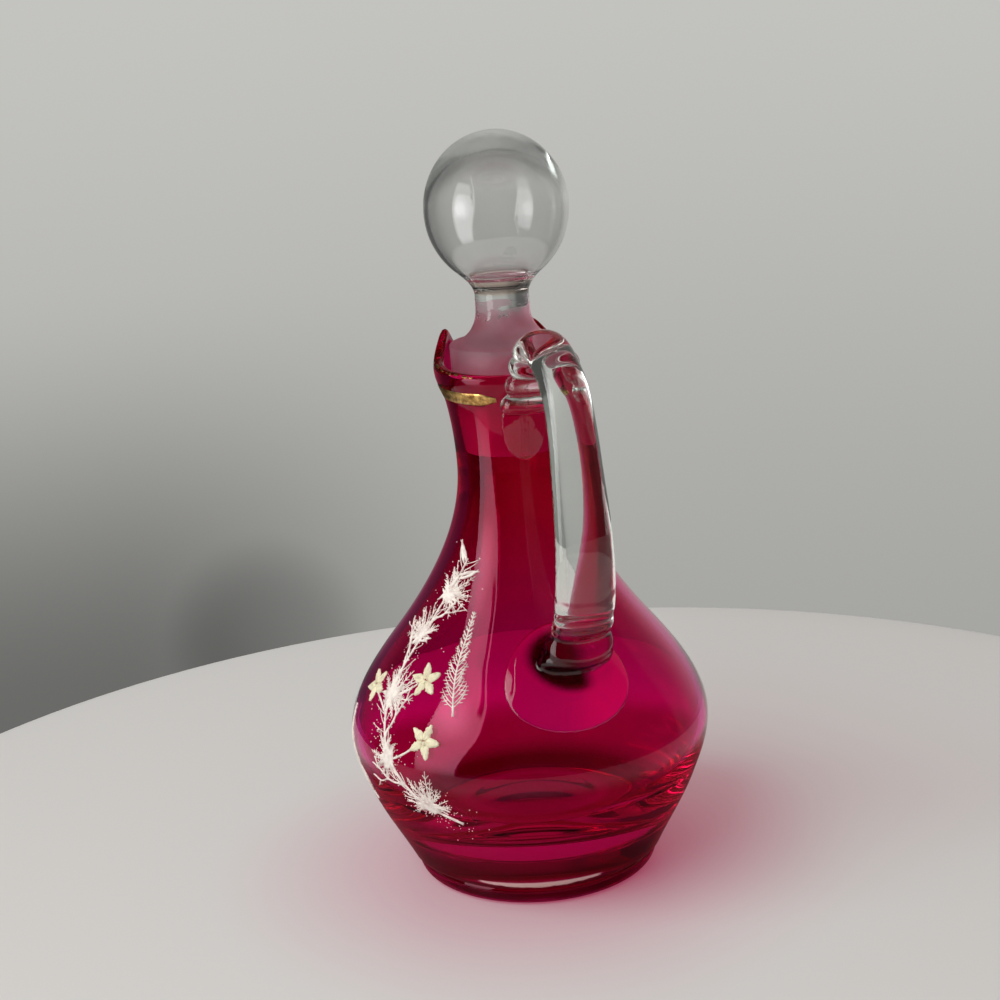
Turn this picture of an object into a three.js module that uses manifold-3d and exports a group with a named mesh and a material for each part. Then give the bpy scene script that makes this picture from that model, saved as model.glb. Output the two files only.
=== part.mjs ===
// Ruby glass decanter with a clear strap handle and a hollow clear ball stopper.
// Millimetres, +Z up. The origin is on the axis of the body, in the plane that the foot stands on.
// The handle lies towards +X and the pouring lip towards -X.

import * as THREE from 'three';
import { mergeVertices } from 'three/addons/utils/BufferGeometryUtils.js';
import Module from 'manifold-3d';

const wasm = await Module();
wasm.setup();

// Driving dimensions of the body. A rise is the height of one ring above the ring before it.
const contactRadius = 33.9;
const footRadius = 37.9;
const footRise = 6;
const footEdge = 4.4;
const grooveDepth = 0.5;
const baseRadius = 39.2;
const flankRadius = 51.3;
const flankRise = 24;
const hipRadius = 56;
const hipRise = 17.5;
const shoulderRadius = 40;
const shoulderRise = 30.5;
const shoulderLean = 0.8;
const neckRadius = 16.9;
const neckRise = 52;
const collarRadius = 18.9;
const collarRise = 20;
const collarLean = 0.2;
const lipRadius = 21.9;
const rimRise = 10.4;
const lipThickness = 3.6;
const wall = 3;
const baseThickness = 17;
const cornerThickness = 11.5;
const cornerPower = 2.4;
const pontilRadius = 20;
const pontilDepth = 2;

// The mouth is pinched up and in at two places, and drawn out into a pouring lip between them.
// Angles count from the handle. The pinches thin the lip, and leave the stopper room to pass.
const pinchAngle = 134;
const pinchWidth = 19;
const pinchRise = 10;
const pinchDepth = 1.2;
const pinchThinning = 1.2;
const pinchCurl = 5;
const spoutReach = 5;
const spoutWidth = 28;
const spoutDrop = 1.2;

// The stopper, from the bottom of its ground plug to the top of its ball.
const plugLength = 15;
const plugSwell = 1.1;
const plugShoulderRise = 7.1;
const plugWall = 2.8;
const plugRound = 0.8;
const flareRise = 10;
const waistRadius = 8.1;
const waistBore = 3.6;
const waistRise = 8.8;
const ballJoin = 1.2;
const ballRadius = 21.5;
const ballHalfHeight = 23;
const ballSideWall = 1.3;
const ballTopWall = 4.2;
const ballFloorWall = 3.2;

// The handle: one gather of glass, from its crimped end on the neck to its pad on the shoulder.
const strapWidth = 14;
const strapThickness = 10;
const strapSpread = 4.5;
const strapEndFlare = 2.5;
const gripThinning = 0.66;
const gripSpread = 1.4;
const gripOut = 2.2;
const handleReach = 51.2;
const archRise = 10.3;
const archOut = 9;
const bendShare = 0.72;
const reachTopShare = 0.74;
const reachFootShare = 0.48;
const kneeShare = 0.23;
const kneeOutShare = 0.6;
const landingOut = 0.4;
const crimpLength = 24;
const crimpCount = 5;
const crimpHeight = 0.9;
const topShift = -1.6;
const landingShift = 2.4;
const footShift = -2;
const footPadHalfWidth = 19;
const footPadHalfHeight = 17.5;
const footPadThickness = 2.6;
const footPadShift = -2.9;
const footPadDrop = 3.5;
const neckPadHalfWidth = 7;
const neckPadHalfHeight = 10.5;
const neckPadTuck = 5;
const neckPadThickness = 1.1;
const neckPadShift = -2;

// Gilding and enamel lie on the glass, and a piece that rests on another keeps this clearance.
const clearance = 0.3;
const bandWidth = 3.4;
const bandDrop = 5.1;
const bandEndAngle = 30;
const giltThickness = 0.3;
const lipLineWidth = 1.6;
const enamelThickness = 0.35;
const stemWidth = 1.1;
const leafLength = 8;
const leafWidth = 2.8;
const petalLength = 5;
const petalWidth = 3.2;
const leafletLength = 6;
const leafletWidth = 1.2;

// How finely round forms are divided.
const bodySides = 44;
const stopperSides = 30;
const strapSides = 14;
const padSides = 28;

// Heights of the body's rings, stacked from the foot up.
const flankHeight = footRise + flankRise;
const hipHeight = flankHeight + hipRise;
const shoulderHeight = hipHeight + shoulderRise;
const neckHeight = shoulderHeight + neckRise;
const collarHeight = neckHeight + collarRise;
const rimHeight = collarHeight + rimRise;
const lipRound = lipThickness / 2;
const lipHeight = rimHeight - lipRound;
const bandTop = rimHeight - bandDrop;
const boreTaper = (collarRadius - neckRadius) / collarRise;
const flankLean = ((flankRadius - baseRadius) / flankRise + (hipRadius - flankRadius) / hipRise) / 2;
const baseLean = 2 * (flankRadius - baseRadius) / flankRise - flankLean;

const turn = Math.PI * 2;
const radians = THREE.MathUtils.degToRad;
const smooth = THREE.MathUtils.smoothstep;

// A cubic through two rings, each [height, radius, lean], where lean is the change of radius with height.
function between([z0, r0, lean0], [z1, r1, lean1], z) {
  const rise = z1 - z0;
  const t = THREE.MathUtils.clamp((z - z0) / rise, 0, 1);
  const start = (1 + 2 * t) * (1 - t) ** 2 * r0 + t * (1 - t) ** 2 * rise * lean0;
  const end = t * t * (3 - 2 * t) * r1 - t * t * (1 - t) * rise * lean1;
  return start + end;
}

const outsideRings = [
  [footRise, baseRadius, baseLean],
  [flankHeight, flankRadius, flankLean],
  [hipHeight, hipRadius, 0],
  [shoulderHeight, shoulderRadius, -shoulderLean],
  [neckHeight, neckRadius, 0],
  [collarHeight, collarRadius, collarLean],
  [lipHeight, lipRadius, collarLean],
];

function outsideRadius(z) {
  const last = outsideRings.length - 1;
  const above = outsideRings.findIndex((ring) => ring[0] >= z);
  const index = above < 0 ? last : Math.max(above, 1);
  return between(outsideRings[index - 1], outsideRings[index], z);
}

function outsideLean(z) {
  const step = 0.01;
  return (outsideRadius(z + step) - outsideRadius(z - step)) / (2 * step);
}

// The wall is even from the hip to the neck, and thickens towards the corner of the floor.
// Above the narrowest ring the bore is a straight cone, ground to take the plug.
function insideRadius(z) {
  if (z > neckHeight) {
    return neckRadius - wall + boreTaper * (z - neckHeight);
  }
  const climb = THREE.MathUtils.clamp((z - baseThickness) / (hipHeight - baseThickness), 0, 1);
  return outsideRadius(z) - wall - cornerThickness * (1 - climb) ** cornerPower;
}

// Heights from low to high, in even steps of about the given size.
function heights(low, high, step) {
  const count = Math.max(2, Math.round((high - low) / step));
  return Array.from({ length: count + 1 }, (_, i) => low + (high - low) * i / count);
}

// Points of a round edge in the plane of a profile, from one angle to another in degrees.
function arc(x, y, radiusX, radiusY, from, to, steps) {
  return Array.from({ length: steps + 1 }, (_, i) => {
    const angle = radians(from + (to - from) * i / steps);
    return new THREE.Vector2(x + radiusX * Math.cos(angle), y + radiusY * Math.sin(angle));
  });
}

// How strongly a form centred at an angle works at another angle: 1 at its middle, near 0 away from it.
function swell(angle, centre, width) {
  const offset = Math.sin((angle - radians(centre)) / 2) / Math.sin(radians(width) / 2);
  return 1 / (1 + offset * offset);
}

// Moves a point of the plain round body to its place in the pinched mouth.
function mouthPoint(point) {
  const weight = smooth(point.z, bandTop, lipHeight);
  const radius = Math.hypot(point.x, point.y);
  if (weight === 0 || radius < lipThickness) {
    return point;
  }
  const angle = Math.atan2(point.y, point.x);
  const pinch = swell(angle, pinchAngle, pinchWidth) + swell(angle, -pinchAngle, pinchWidth);
  const spout = swell(angle, 180, spoutWidth);
  const across = THREE.MathUtils.clamp((radius - lipRadius + lipThickness) / lipThickness, 0, 1);
  const pull = weight ** pinchCurl * pinch * (pinchDepth + pinchThinning * across);
  const moved = radius + weight * spoutReach * spout - pull;
  point.multiply(new THREE.Vector3(moved / radius, moved / radius, 1));
  point.z += weight * (pinchRise * pinch - spoutDrop * spout);
  return point;
}

// A point of the body's outside, at an angle round the axis and a height, standing off the glass.
function onBody(angle, z, off) {
  const lean = outsideLean(z);
  const slope = Math.hypot(1, lean);
  const radius = outsideRadius(z) + off / slope;
  const point = new THREE.Vector3(radius * Math.cos(angle), radius * Math.sin(angle), z - off * lean / slope);
  return mouthPoint(point);
}

// Turns a profile of (radius, height) points round +Z.
function turned(profile, sides) {
  const geometry = new THREE.LatheGeometry(profile, sides);
  geometry.rotateX(Math.PI / 2);
  return geometry;
}

function reshape(geometry, move) {
  const places = geometry.getAttribute('position');
  const point = new THREE.Vector3();
  for (let i = 0; i < places.count; i += 1) {
    move(point.fromBufferAttribute(places, i));
    places.setXYZ(i, point.x, point.y, point.z);
  }
  return geometry;
}

// A closed skin over rings of equal length. The two end rings are closed by a fan from their middles.
function skin(rings) {
  const sides = rings[0].length;
  const middle = (ring) => ring.reduce((sum, p) => sum.add(p), new THREE.Vector3()).divideScalar(sides);
  const points = [...rings.flat(), middle(rings[0]), middle(rings.at(-1))];
  const faces = [];
  const at = (ring, side) => ring * sides + side % sides;
  for (let ring = 0; ring + 1 < rings.length; ring += 1) {
    for (let side = 0; side < sides; side += 1) {
      faces.push(at(ring, side), at(ring, side + 1), at(ring + 1, side + 1));
      faces.push(at(ring, side), at(ring + 1, side + 1), at(ring + 1, side));
    }
  }
  for (let side = 0; side < sides; side += 1) {
    faces.push(at(0, side + 1), at(0, side), points.length - 2);
    faces.push(at(rings.length - 1, side), at(rings.length - 1, side + 1), points.length - 1);
  }
  const geometry = new THREE.BufferGeometry().setFromPoints(points);
  geometry.setIndex(faces);
  return geometry;
}

// A closed geometry as a solid for cutting and joining, with its shared points merged.
function toSolid(geometry) {
  const bare = geometry.clone();
  bare.deleteAttribute('normal');
  bare.deleteAttribute('uv');
  const merged = mergeVertices(bare, 1e-5);
  const index = merged.getIndex().array;
  const faces = [];
  for (let i = 0; i < index.length; i += 3) {
    const [a, b, c] = index.slice(i, i + 3);
    if (a !== b && b !== c && c !== a) {
      faces.push(a, b, c);
    }
  }
  const vertProperties = new Float32Array(merged.getAttribute('position').array);
  return new wasm.Manifold(new wasm.Mesh({ numProp: 3, vertProperties, triVerts: new Uint32Array(faces) }));
}

function toGeometry(solid) {
  const mesh = solid.getMesh();
  const geometry = new THREE.BufferGeometry();
  geometry.setAttribute('position', new THREE.BufferAttribute(mesh.vertProperties, mesh.numProp));
  geometry.setIndex(new THREE.BufferAttribute(mesh.triVerts, 1));
  return geometry;
}

function join(solids) {
  return solids.reduce((whole, next) => whole.add(next));
}

// The outside of the body as a profile, from its foot to the top of its lip, standing off the glass.
function outsideProfile(off) {
  const flat = new THREE.Vector2(contactRadius, -off);
  const edge = arc(contactRadius, footEdge, footRadius - contactRadius + off, footEdge + off, -60, 0, 3);
  const groove = new THREE.Vector2(footRadius - grooveDepth + off, footRise);
  const standOff = (z) => {
    const slope = Math.hypot(1, outsideLean(z));
    return new THREE.Vector2(outsideRadius(z) + off / slope, z - off * outsideLean(z) / slope);
  };
  const side = heights(footRise + grooveDepth, bandTop, 5.2).map(standOff);
  const mouth = heights(bandTop, lipHeight, 1).slice(1).map(standOff);
  const lip = arc(lipRadius - lipRound, lipHeight, lipRound + off, lipRound + off, 0, 90, 3).slice(1);
  return [flat, ...edge, groove, ...side, ...mouth, ...lip];
}

// The inside of the body as a profile, from the lip down the neck and the bulb to the middle of the floor.
function insideProfile() {
  const lip = arc(lipRadius - lipRound, lipHeight, lipRound, lipRound, 90, 180, 3).slice(1);
  const throat = heights(collarHeight, lipHeight, 1.5).slice(0, -1).reverse();
  const throatFoot = [collarHeight, collarRadius - wall, collarLean];
  const throatTop = [lipHeight, lipRadius - lipThickness, collarLean];
  const mouth = throat.map((z) => new THREE.Vector2(between(throatFoot, throatTop, z), z));
  const side = heights(baseThickness, collarHeight, 7.5).reverse().slice(1);
  const bulb = side.map((z) => new THREE.Vector2(insideRadius(z), z));
  return [...lip, ...mouth, ...bulb, new THREE.Vector2(0, baseThickness)];
}

function makeBodyShell() {
  const underside = [
    new THREE.Vector2(0, pontilDepth),
    new THREE.Vector2(pontilRadius / 2, pontilDepth * 0.8),
    new THREE.Vector2(pontilRadius, 0),
  ];
  const profile = [...underside, ...outsideProfile(0), ...insideProfile()];
  return reshape(turned(profile, bodySides), mouthPoint);
}

// The space that nothing set on the body may enter: its outside grown by the clearance, filled to the axis.
function keptClear() {
  const axisFoot = new THREE.Vector2(0, -clearance);
  const axisTop = new THREE.Vector2(0, rimHeight + clearance);
  const profile = [axisFoot, ...outsideProfile(clearance), axisTop];
  return toSolid(reshape(turned(profile, bodySides), mouthPoint));
}

// The stopper's heights follow the mouth of the neck, in whose bore its ground plug sits.
const plugFoot = collarHeight - plugLength;
const plugTop = rimHeight + plugShoulderRise;
const waistFoot = plugTop + flareRise;
const waistTop = waistFoot + waistRise;
const joinRadius = waistRadius + ballJoin;
const joinAngle = Math.asin(joinRadius / ballRadius);
const ballMiddle = waistTop + ballHalfHeight * Math.cos(joinAngle);
const plugFootRadius = insideRadius(plugFoot) - clearance;
const plugCollarRadius = collarRadius - wall - clearance;
const plugTopRadius = plugCollarRadius + plugSwell;

// The outside of the stopper: its ground plug, the flare above the mouth, the waist and the ball.
function stopperOutside() {
  const collar = [collarHeight, plugCollarRadius, boreTaper];
  const top = [plugTop, plugTopRadius, 0];
  const bottom = arc(plugFootRadius - plugRound, plugFoot + plugRound, plugRound, plugRound, -90, 0, 2);
  const mouth = heights(collarHeight, plugTop - plugRound, 5).slice(1);
  const edge = arc(plugTopRadius - plugRound, plugTop - plugRound, plugRound, plugRound, 30, 90, 2);
  const flare = arc(plugTopRadius, waistFoot, plugTopRadius - waistRadius, flareRise, 255, 180, 6);
  const waist = new THREE.Vector2(waistRadius, waistFoot + waistRise / 2);
  const lowest = THREE.MathUtils.radToDeg(joinAngle) - 90;
  return [
    ...bottom,
    new THREE.Vector2(plugCollarRadius, collarHeight),
    ...mouth.map((z) => new THREE.Vector2(between(collar, top, z), z)),
    ...edge,
    ...flare,
    waist,
    ...arc(0, ballMiddle, ballRadius, ballHalfHeight, lowest, 90, 12),
  ];
}

// The hollow blown through the stopper, from the top of the bubble in its ball to the open end of the plug.
function stopperInside() {
  const radius = ballRadius - ballSideWall;
  const halfHeight = ballHalfHeight - (ballTopWall + ballFloorWall) / 2;
  const middle = ballMiddle - (ballTopWall - ballFloorWall) / 2;
  const lowest = THREE.MathUtils.radToDeg(Math.asin(waistBore / radius)) - 90;
  const throat = plugTopRadius - plugWall;
  return [
    ...arc(0, middle, radius, halfHeight, 90, lowest, 9),
    new THREE.Vector2(waistBore, waistFoot),
    ...arc(throat, waistFoot - plugWall, throat - waistBore, flareRise - 1, 180, 270, 5),
    new THREE.Vector2(plugCollarRadius - plugWall, collarHeight),
    new THREE.Vector2(plugFootRadius - plugWall, plugFoot),
  ];
}

function makeStopper() {
  const outside = stopperOutside();
  return turned([...outside, ...stopperInside(), outside[0]], stopperSides);
}

// A pad of glass pressed on the body, a lens in outline, set off to one side of the handle by the shift.
function makePad(middleHeight, shift, halfWidth, halfHeight, thickness) {
  const edge = Math.min(0.8, thickness / 2);
  const radius = outsideRadius(middleHeight);
  const slope = Math.hypot(1, outsideLean(middleHeight));
  const under = -wall / 4;
  const rings = [[0.4, under], [0.97, under], [1, clearance + edge / 2]];
  const dome = (share) => [share, clearance + edge + (thickness - edge) * (1 - share ** 2)];
  const domes = [0.96, 0.82, 0.6, 0.3].map(dome);
  return skin([...rings, ...domes].map(([share, off]) => ringOf(padSides, (angle) => {
    const across = shift + halfWidth * share * Math.cos(angle);
    const along = halfHeight * share * Math.sin(angle);
    return onBody(across / radius, middleHeight + along / slope, off);
  })));
}

function ringOf(sides, place) {
  return Array.from({ length: sides }, (_, i) => place(turn * i / sides));
}

// The middle line of the handle: up the neck, over the mouth's edge, out, and down to the shoulder.
function handleLine() {
  const grip = collarHeight - shoulderHeight;
  const crestOut = lipRadius + archOut;
  const bendOut = THREE.MathUtils.lerp(crestOut, handleReach, bendShare);
  const kneeOut = THREE.MathUtils.lerp(shoulderRadius, handleReach, kneeOutShare);
  const stops = [
    [collarRadius + gripOut, collarHeight],
    [lipRadius + gripOut, rimHeight],
    [crestOut, rimHeight + archRise],
    [bendOut, rimHeight + clearance],
    [handleReach, shoulderHeight + reachTopShare * grip],
    [handleReach, shoulderHeight + reachFootShare * grip],
    [kneeOut, shoulderHeight + kneeShare * grip],
    [shoulderRadius + landingOut, shoulderHeight],
  ];
  const last = stops.length - 1;
  const lean = (i) => THREE.MathUtils.lerp(topShift, landingShift, i / last) + (i === last ? footShift : 0);
  return new THREE.CatmullRomCurve3(stops.map(([out, z], i) => new THREE.Vector3(out, lean(i), z)));
}

// The strap is pressed thin and crimped across where it grips the neck, and spreads as it nears the shoulder.
function makeStrap() {
  const line = handleLine();
  const length = line.getLength();
  const crimped = heights(0, crimpLength, 1.3);
  const plain = heights(crimpLength, length, 5.2).slice(1);
  const sideways = new THREE.Vector3(0, 1, 0);
  return skin([...crimped, ...plain].map((distance) => {
    const share = Math.min(distance / length, 1);
    const middle = line.getPointAt(share);
    const outward = line.getTangentAt(share).cross(sideways).normalize();
    const eased = smooth(distance, 0, crimpLength * 1.4);
    const fade = 1 - smooth(distance, crimpLength * 0.7, crimpLength);
    const crimp = crimpHeight * fade * Math.sin(turn * crimpCount * distance / crimpLength);
    const flare = strapEndFlare * smooth(share, 0.9, 1);
    const spread = gripSpread * (1 - smooth(distance, 0, crimpLength / 2)) + flare;
    const halfWidth = (strapWidth + strapSpread * smooth(share, 0.3, 0.85) + crimp) / 2 + spread;
    const thinning = THREE.MathUtils.lerp(gripThinning, 1, eased);
    const halfThickness = strapThickness / 2 * thinning + flare + crimp;
    return ringOf(strapSides, (angle) => middle.clone()
      .addScaledVector(sideways, halfWidth * Math.cos(angle))
      .addScaledVector(outward, halfThickness * Math.sin(angle)));
  }));
}

function makeHandle() {
  const footPadHeight = shoulderHeight - footPadDrop;
  const footPad = makePad(footPadHeight, footPadShift, footPadHalfWidth, footPadHalfHeight, footPadThickness);
  const neckPadHeight = collarHeight + neckPadTuck - neckPadHalfHeight;
  const neckPad = makePad(neckPadHeight, neckPadShift, neckPadHalfWidth, neckPadHalfHeight, neckPadThickness);
  const glass = join([makeStrap(), footPad, neckPad].map(toSolid));
  return toGeometry(glass.subtract(keptClear()));
}

// A flat strip on the body along a path of [angle, height] places, with the width at each place.
function makeStrip(places, widthAt, thickness) {
  return skin(places.map(([angle, z], i) => {
    const before = places[Math.max(i - 1, 0)];
    const after = places[Math.min(i + 1, places.length - 1)];
    const middle = onBody(angle, z, 0);
    const normal = onBody(angle, z, 1).sub(middle).normalize();
    const ahead = onBody(...after, 0).sub(onBody(...before, 0)).normalize();
    const across = normal.clone().cross(ahead).multiplyScalar(widthAt(i / (places.length - 1)) / 2);
    const low = middle.clone().addScaledVector(normal, clearance);
    const high = middle.clone().addScaledVector(normal, clearance + thickness);
    const corners = [[low, -1], [low, 1], [high, 1], [high, -1]];
    return corners.map(([edge, side]) => edge.clone().addScaledVector(across, side));
  }));
}

// Angles round the body on the lines between its facets, from one side of the handle round to the other.
function anglesRound(endAngle) {
  const step = 360 / bodySides;
  const first = Math.ceil(endAngle / step);
  const last = bodySides - first;
  return Array.from({ length: last - first + 1 }, (_, i) => radians((first + i) * step));
}

// The gilt band stops short of the handle, and its brush stroke tapers at both ends.
function makeNeckBand() {
  const places = anglesRound(bandEndAngle).map((angle) => [angle, bandTop - bandWidth / 2]);
  const width = (share) => bandWidth * Math.min(1, 0.3 + 9 * Math.min(share, 1 - share));
  return toGeometry(toSolid(makeStrip(places, width, giltThickness)));
}

// A worn gilt line over the outer half of the lip.
function makeLipLine() {
  const reach = lipRound + clearance;
  const span = THREE.MathUtils.radToDeg(lipLineWidth / reach);
  const middle = lipRadius - lipRound;
  return toGeometry(toSolid(skin(anglesRound(bandEndAngle).map((angle) => {
    const low = arc(middle, lipHeight, reach, reach, 60 - span, 60, 2);
    const high = arc(middle, lipHeight, reach + giltThickness, reach + giltThickness, 60, 60 - span, 2);
    const place = (p) => mouthPoint(new THREE.Vector3(p.x * Math.cos(angle), p.x * Math.sin(angle), p.y));
    return [...low, ...high].map(place);
  }))));
}

// Enamel lies on the body in strokes. A place is [angle round the axis, height], and this gives one from
// degrees and a share of the way up from the foot to the neck.
function placeAt([degrees, share]) {
  return [radians(degrees), THREE.MathUtils.lerp(footRise, neckHeight, share)];
}

// How far a step round and a step up carry on the glass at a place: [across per radian, along per height].
function scaleAt([, z]) {
  return [outsideRadius(z), Math.hypot(1, outsideLean(z))];
}

// The distance and heading on the glass from one place to another.
// Heading 0 is round, and a quarter turn is up.
function reachTo(from, to) {
  const [round, rise] = scaleAt([0, (from[1] + to[1]) / 2]);
  const across = (to[0] - from[0]) * round;
  const along = (to[1] - from[1]) * rise;
  return { distance: Math.hypot(across, along), heading: Math.atan2(along, across) };
}

// A straight stroke of enamel from a place, as a solid.
function makeStroke(from, heading, length, widthAt, steps = 3, thickness = enamelThickness) {
  const [round, rise] = scaleAt(from);
  const places = Array.from({ length: steps + 1 }, (_, i) => {
    const distance = length * i / steps;
    return [from[0] + Math.cos(heading) * distance / round, from[1] + Math.sin(heading) * distance / rise];
  });
  return toSolid(makeStrip(places, widthAt, thickness));
}

const leafShape = (width) => (share) => width * (0.15 + 0.85 * Math.sin(Math.PI * share ** 0.8));
const petalShape = (width) => (share) => width * (0.3 + 0.7 * Math.sin(Math.PI * share ** 1.4));
const stalkShape = (width) => (share) => width * (1 - 0.4 * share);

// The line of a stem through places chosen by hand.
function stemLine(stops) {
  return new THREE.SplineCurve(stops.map((stop) => new THREE.Vector2(...placeAt(stop))));
}

function placeOn(line, share) {
  return line.getPoint(share).toArray();
}

function headingOn(line, share) {
  return reachTo(placeOn(line, share - 0.01), placeOn(line, share + 0.01)).heading;
}

function makeStem(line, width, steps) {
  const places = Array.from({ length: steps + 1 }, (_, i) => placeOn(line, i / steps));
  return toSolid(makeStrip(places, stalkShape(width), enamelThickness));
}

// Side strokes set in turn on the two sides of a stem, or in pairs.
function makeSideStrokes(line, shares, sides, angle, length, shape, steps) {
  const stroke = (share, side) => {
    const heading = headingOn(line, share) + side * radians(angle);
    return makeStroke(placeOn(line, share), heading, length(share), shape, steps);
  };
  return shares.flatMap((share, i) => sides(i).map((side) => stroke(share, side)));
}

const mainStem = stemLine([[-44, 0.22], [-58, 0.27], [-72, 0.39], [-79, 0.53], [-74, 0.68], [-62, 0.8]]);
const blossomSpots = [
  { stop: [-56, 0.42], stemShare: 0.3 },
  { stop: [-63, 0.54], stemShare: 0.5 },
  { stop: [-91, 0.49], stemShare: 0.45 },
];

// The main spray: a curving stem with leaves on alternate sides, and a stalk to each blossom.
function makeSpray() {
  const shares = [0.1, 0.2, 0.36, 0.58, 0.68, 0.78, 0.88, 0.95];
  const alternate = (i) => [i % 2 ? 1 : -1];
  const leaves = makeSideStrokes(mainStem, shares, alternate, 48, () => leafLength, leafShape(leafWidth), 3);
  const stalks = blossomSpots.map(({ stop, stemShare }) => {
    const from = placeOn(mainStem, stemShare);
    const { distance, heading } = reachTo(from, placeAt(stop));
    return makeStroke(from, heading, distance - petalLength - 2 * clearance, stalkShape(stemWidth));
  });
  return toGeometry(join([makeStem(mainStem, stemWidth, 22), ...leaves, ...stalks]));
}

// A blossom of five petals round a raised centre.
function makeBlossom({ stop }, index) {
  const middle = placeAt(stop);
  const petals = Array.from({ length: 5 }, (_, i) => (
    makeStroke(middle, turn * (i / 5 + index / 11), petalLength, petalShape(petalWidth))));
  const [round] = scaleAt(middle);
  const heart = [middle[0] - petalWidth / 3 / round, middle[1]];
  const centre = makeStroke(heart, 0, petalWidth / 1.5, leafShape(petalWidth / 1.5), 3, 2 * enamelThickness);
  return toGeometry(join([...petals, centre]));
}

// A fern: a rib with pairs of leaflets that shorten towards its tip.
function makeFern(stops) {
  const line = stemLine(stops);
  const shares = [0.16, 0.33, 0.5, 0.67, 0.84];
  const pairs = () => [-1, 1];
  const length = (share) => leafletLength * (1.15 - share);
  const leaflets = makeSideStrokes(line, shares, pairs, 50, length, leafShape(leafletWidth), 2);
  return toGeometry(join([makeStem(line, stemWidth * 0.8, 10), ...leaflets]));
}

const rubyGlass = new THREE.MeshStandardMaterial({ color: 0x8c0030, roughness: 0.05, metalness: 0 });
const clearGlass = new THREE.MeshStandardMaterial({ color: 0xd5dcd2, roughness: 0.05, metalness: 0 });
const gilding = new THREE.MeshStandardMaterial({ color: 0xb08a3c, roughness: 0.35, metalness: 1 });
const whiteEnamel = new THREE.MeshStandardMaterial({ color: 0xe6dcd0, roughness: 0.6, metalness: 0 });
const creamEnamel = new THREE.MeshStandardMaterial({ color: 0xeae4b8, roughness: 0.6, metalness: 0 });

const decanter = new THREE.Group();

function add(name, geometry, material) {
  geometry.computeVertexNormals();
  const mesh = new THREE.Mesh(geometry, material);
  mesh.name = name;
  decanter.add(mesh);
}

add('body_shell', toGeometry(toSolid(makeBodyShell())), rubyGlass);
add('handle', makeHandle(), clearGlass);
add('stopper', toGeometry(toSolid(makeStopper())), clearGlass);
add('neck_gilt_band', makeNeckBand(), gilding);
add('lip_gilt_line', makeLipLine(), gilding);
add('enamel_spray', makeSpray(), whiteEnamel);
blossomSpots.forEach((spot, i) => add(`enamel_blossom_${i + 1}`, makeBlossom(spot, i), creamEnamel));
add('enamel_fern_upper', makeFern([[-47, 0.48], [-50, 0.58], [-48, 0.69]]), whiteEnamel);
add('enamel_fern_lower', makeFern([[-88, 0.2], [-97, 0.3], [-102, 0.42]]), whiteEnamel);

export default decanter;
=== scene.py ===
# A ruby glass decanter with an applied clear handle, a hollow ball stopper, worn gilding and raised enamel.
# Shapes are worked out in millimetres in the part's own frame, +Z up and the handle towards +X, and are scaled to
# metres when they become meshes.

from functools import partial
from math import atan2, cos, hypot, pi, radians, sin, sqrt

import bpy
import numpy as np
from mathutils import Matrix, Vector


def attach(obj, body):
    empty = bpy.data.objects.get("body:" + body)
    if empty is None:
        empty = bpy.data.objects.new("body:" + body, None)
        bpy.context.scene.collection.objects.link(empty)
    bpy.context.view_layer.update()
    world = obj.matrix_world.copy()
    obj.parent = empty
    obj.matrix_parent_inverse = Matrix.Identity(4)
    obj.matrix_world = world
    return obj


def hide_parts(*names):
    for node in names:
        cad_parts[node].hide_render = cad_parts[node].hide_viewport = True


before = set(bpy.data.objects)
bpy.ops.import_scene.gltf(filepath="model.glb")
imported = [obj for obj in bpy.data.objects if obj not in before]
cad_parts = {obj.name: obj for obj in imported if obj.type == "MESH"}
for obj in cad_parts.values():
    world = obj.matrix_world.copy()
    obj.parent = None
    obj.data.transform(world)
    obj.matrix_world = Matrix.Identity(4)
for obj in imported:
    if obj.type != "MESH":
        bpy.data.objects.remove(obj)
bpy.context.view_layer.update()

bpy.context.scene.view_settings.view_transform = "Standard"

# Light crosses many glass faces here, and each path needs enough bounces to get out again.
cycles = bpy.context.scene.cycles
cycles.max_bounces = 40
cycles.transmission_bounces = 40
cycles.glossy_bounces = 24
cycles.transparent_max_bounces = 40

MM = 0.001
TURN = 2 * pi

# Rings of the body's outside: height, radius, and lean, which is the change of radius with height.
BASE_RING = (6.0, 39.2, 0.463)
FLANK_RING = (30.0, 51.3, 0.386)
HIP_RING = (47.5, 56.0, 0.0)
SHOULDER_RING = (78.0, 40.0, -0.8)
NECK_RING = (130.0, 16.9, 0.0)
COLLAR_RING = (150.0, 18.9, 0.2)
LIP_RING = (158.6, 21.9, 0.2)
OUTSIDE_RINGS = [BASE_RING, FLANK_RING, HIP_RING, SHOULDER_RING, NECK_RING, COLLAR_RING, LIP_RING]

CONTACT_RADIUS = 33.9
FOOT_RADIUS = 37.9
FOOT_RISE = 6.0
FOOT_EDGE = 4.4
# The groove above the foot and the sweep up to the side, as steps from the foot's radius and rise.
GROOVE = [(-0.08, -1.0), (-0.3, -0.5), (-0.5, -0.05), (-0.35, 0.25), (0.2, 0.5), (0.85, 0.8)]
SIDE_FOOT = FOOT_RISE + 1.3
PONTIL_RADIUS = 20.0
PONTIL_DEPTH = 2.0
BASE_THICKNESS = 17.0
CORNER_THICKNESS = 11.5
CORNER_POWER = 2.4
FLOOR_ROUND = 5.0
DISH_INSIDE = 17.6
DISH_OUTSIDE = 21.6
DISH_DEPTH = 1.1
BULB_WALL = 2.5
NECK_WALL = 3.6
NECK_WALL_FROM = 105.0
BORE_WALL = 3.0
BORE_WALL_FROM = 118.0
LIP_THICKNESS = 3.6
LIP_ROUND = LIP_THICKNESS / 2
RIM_HEIGHT = LIP_RING[0] + LIP_ROUND

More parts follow.
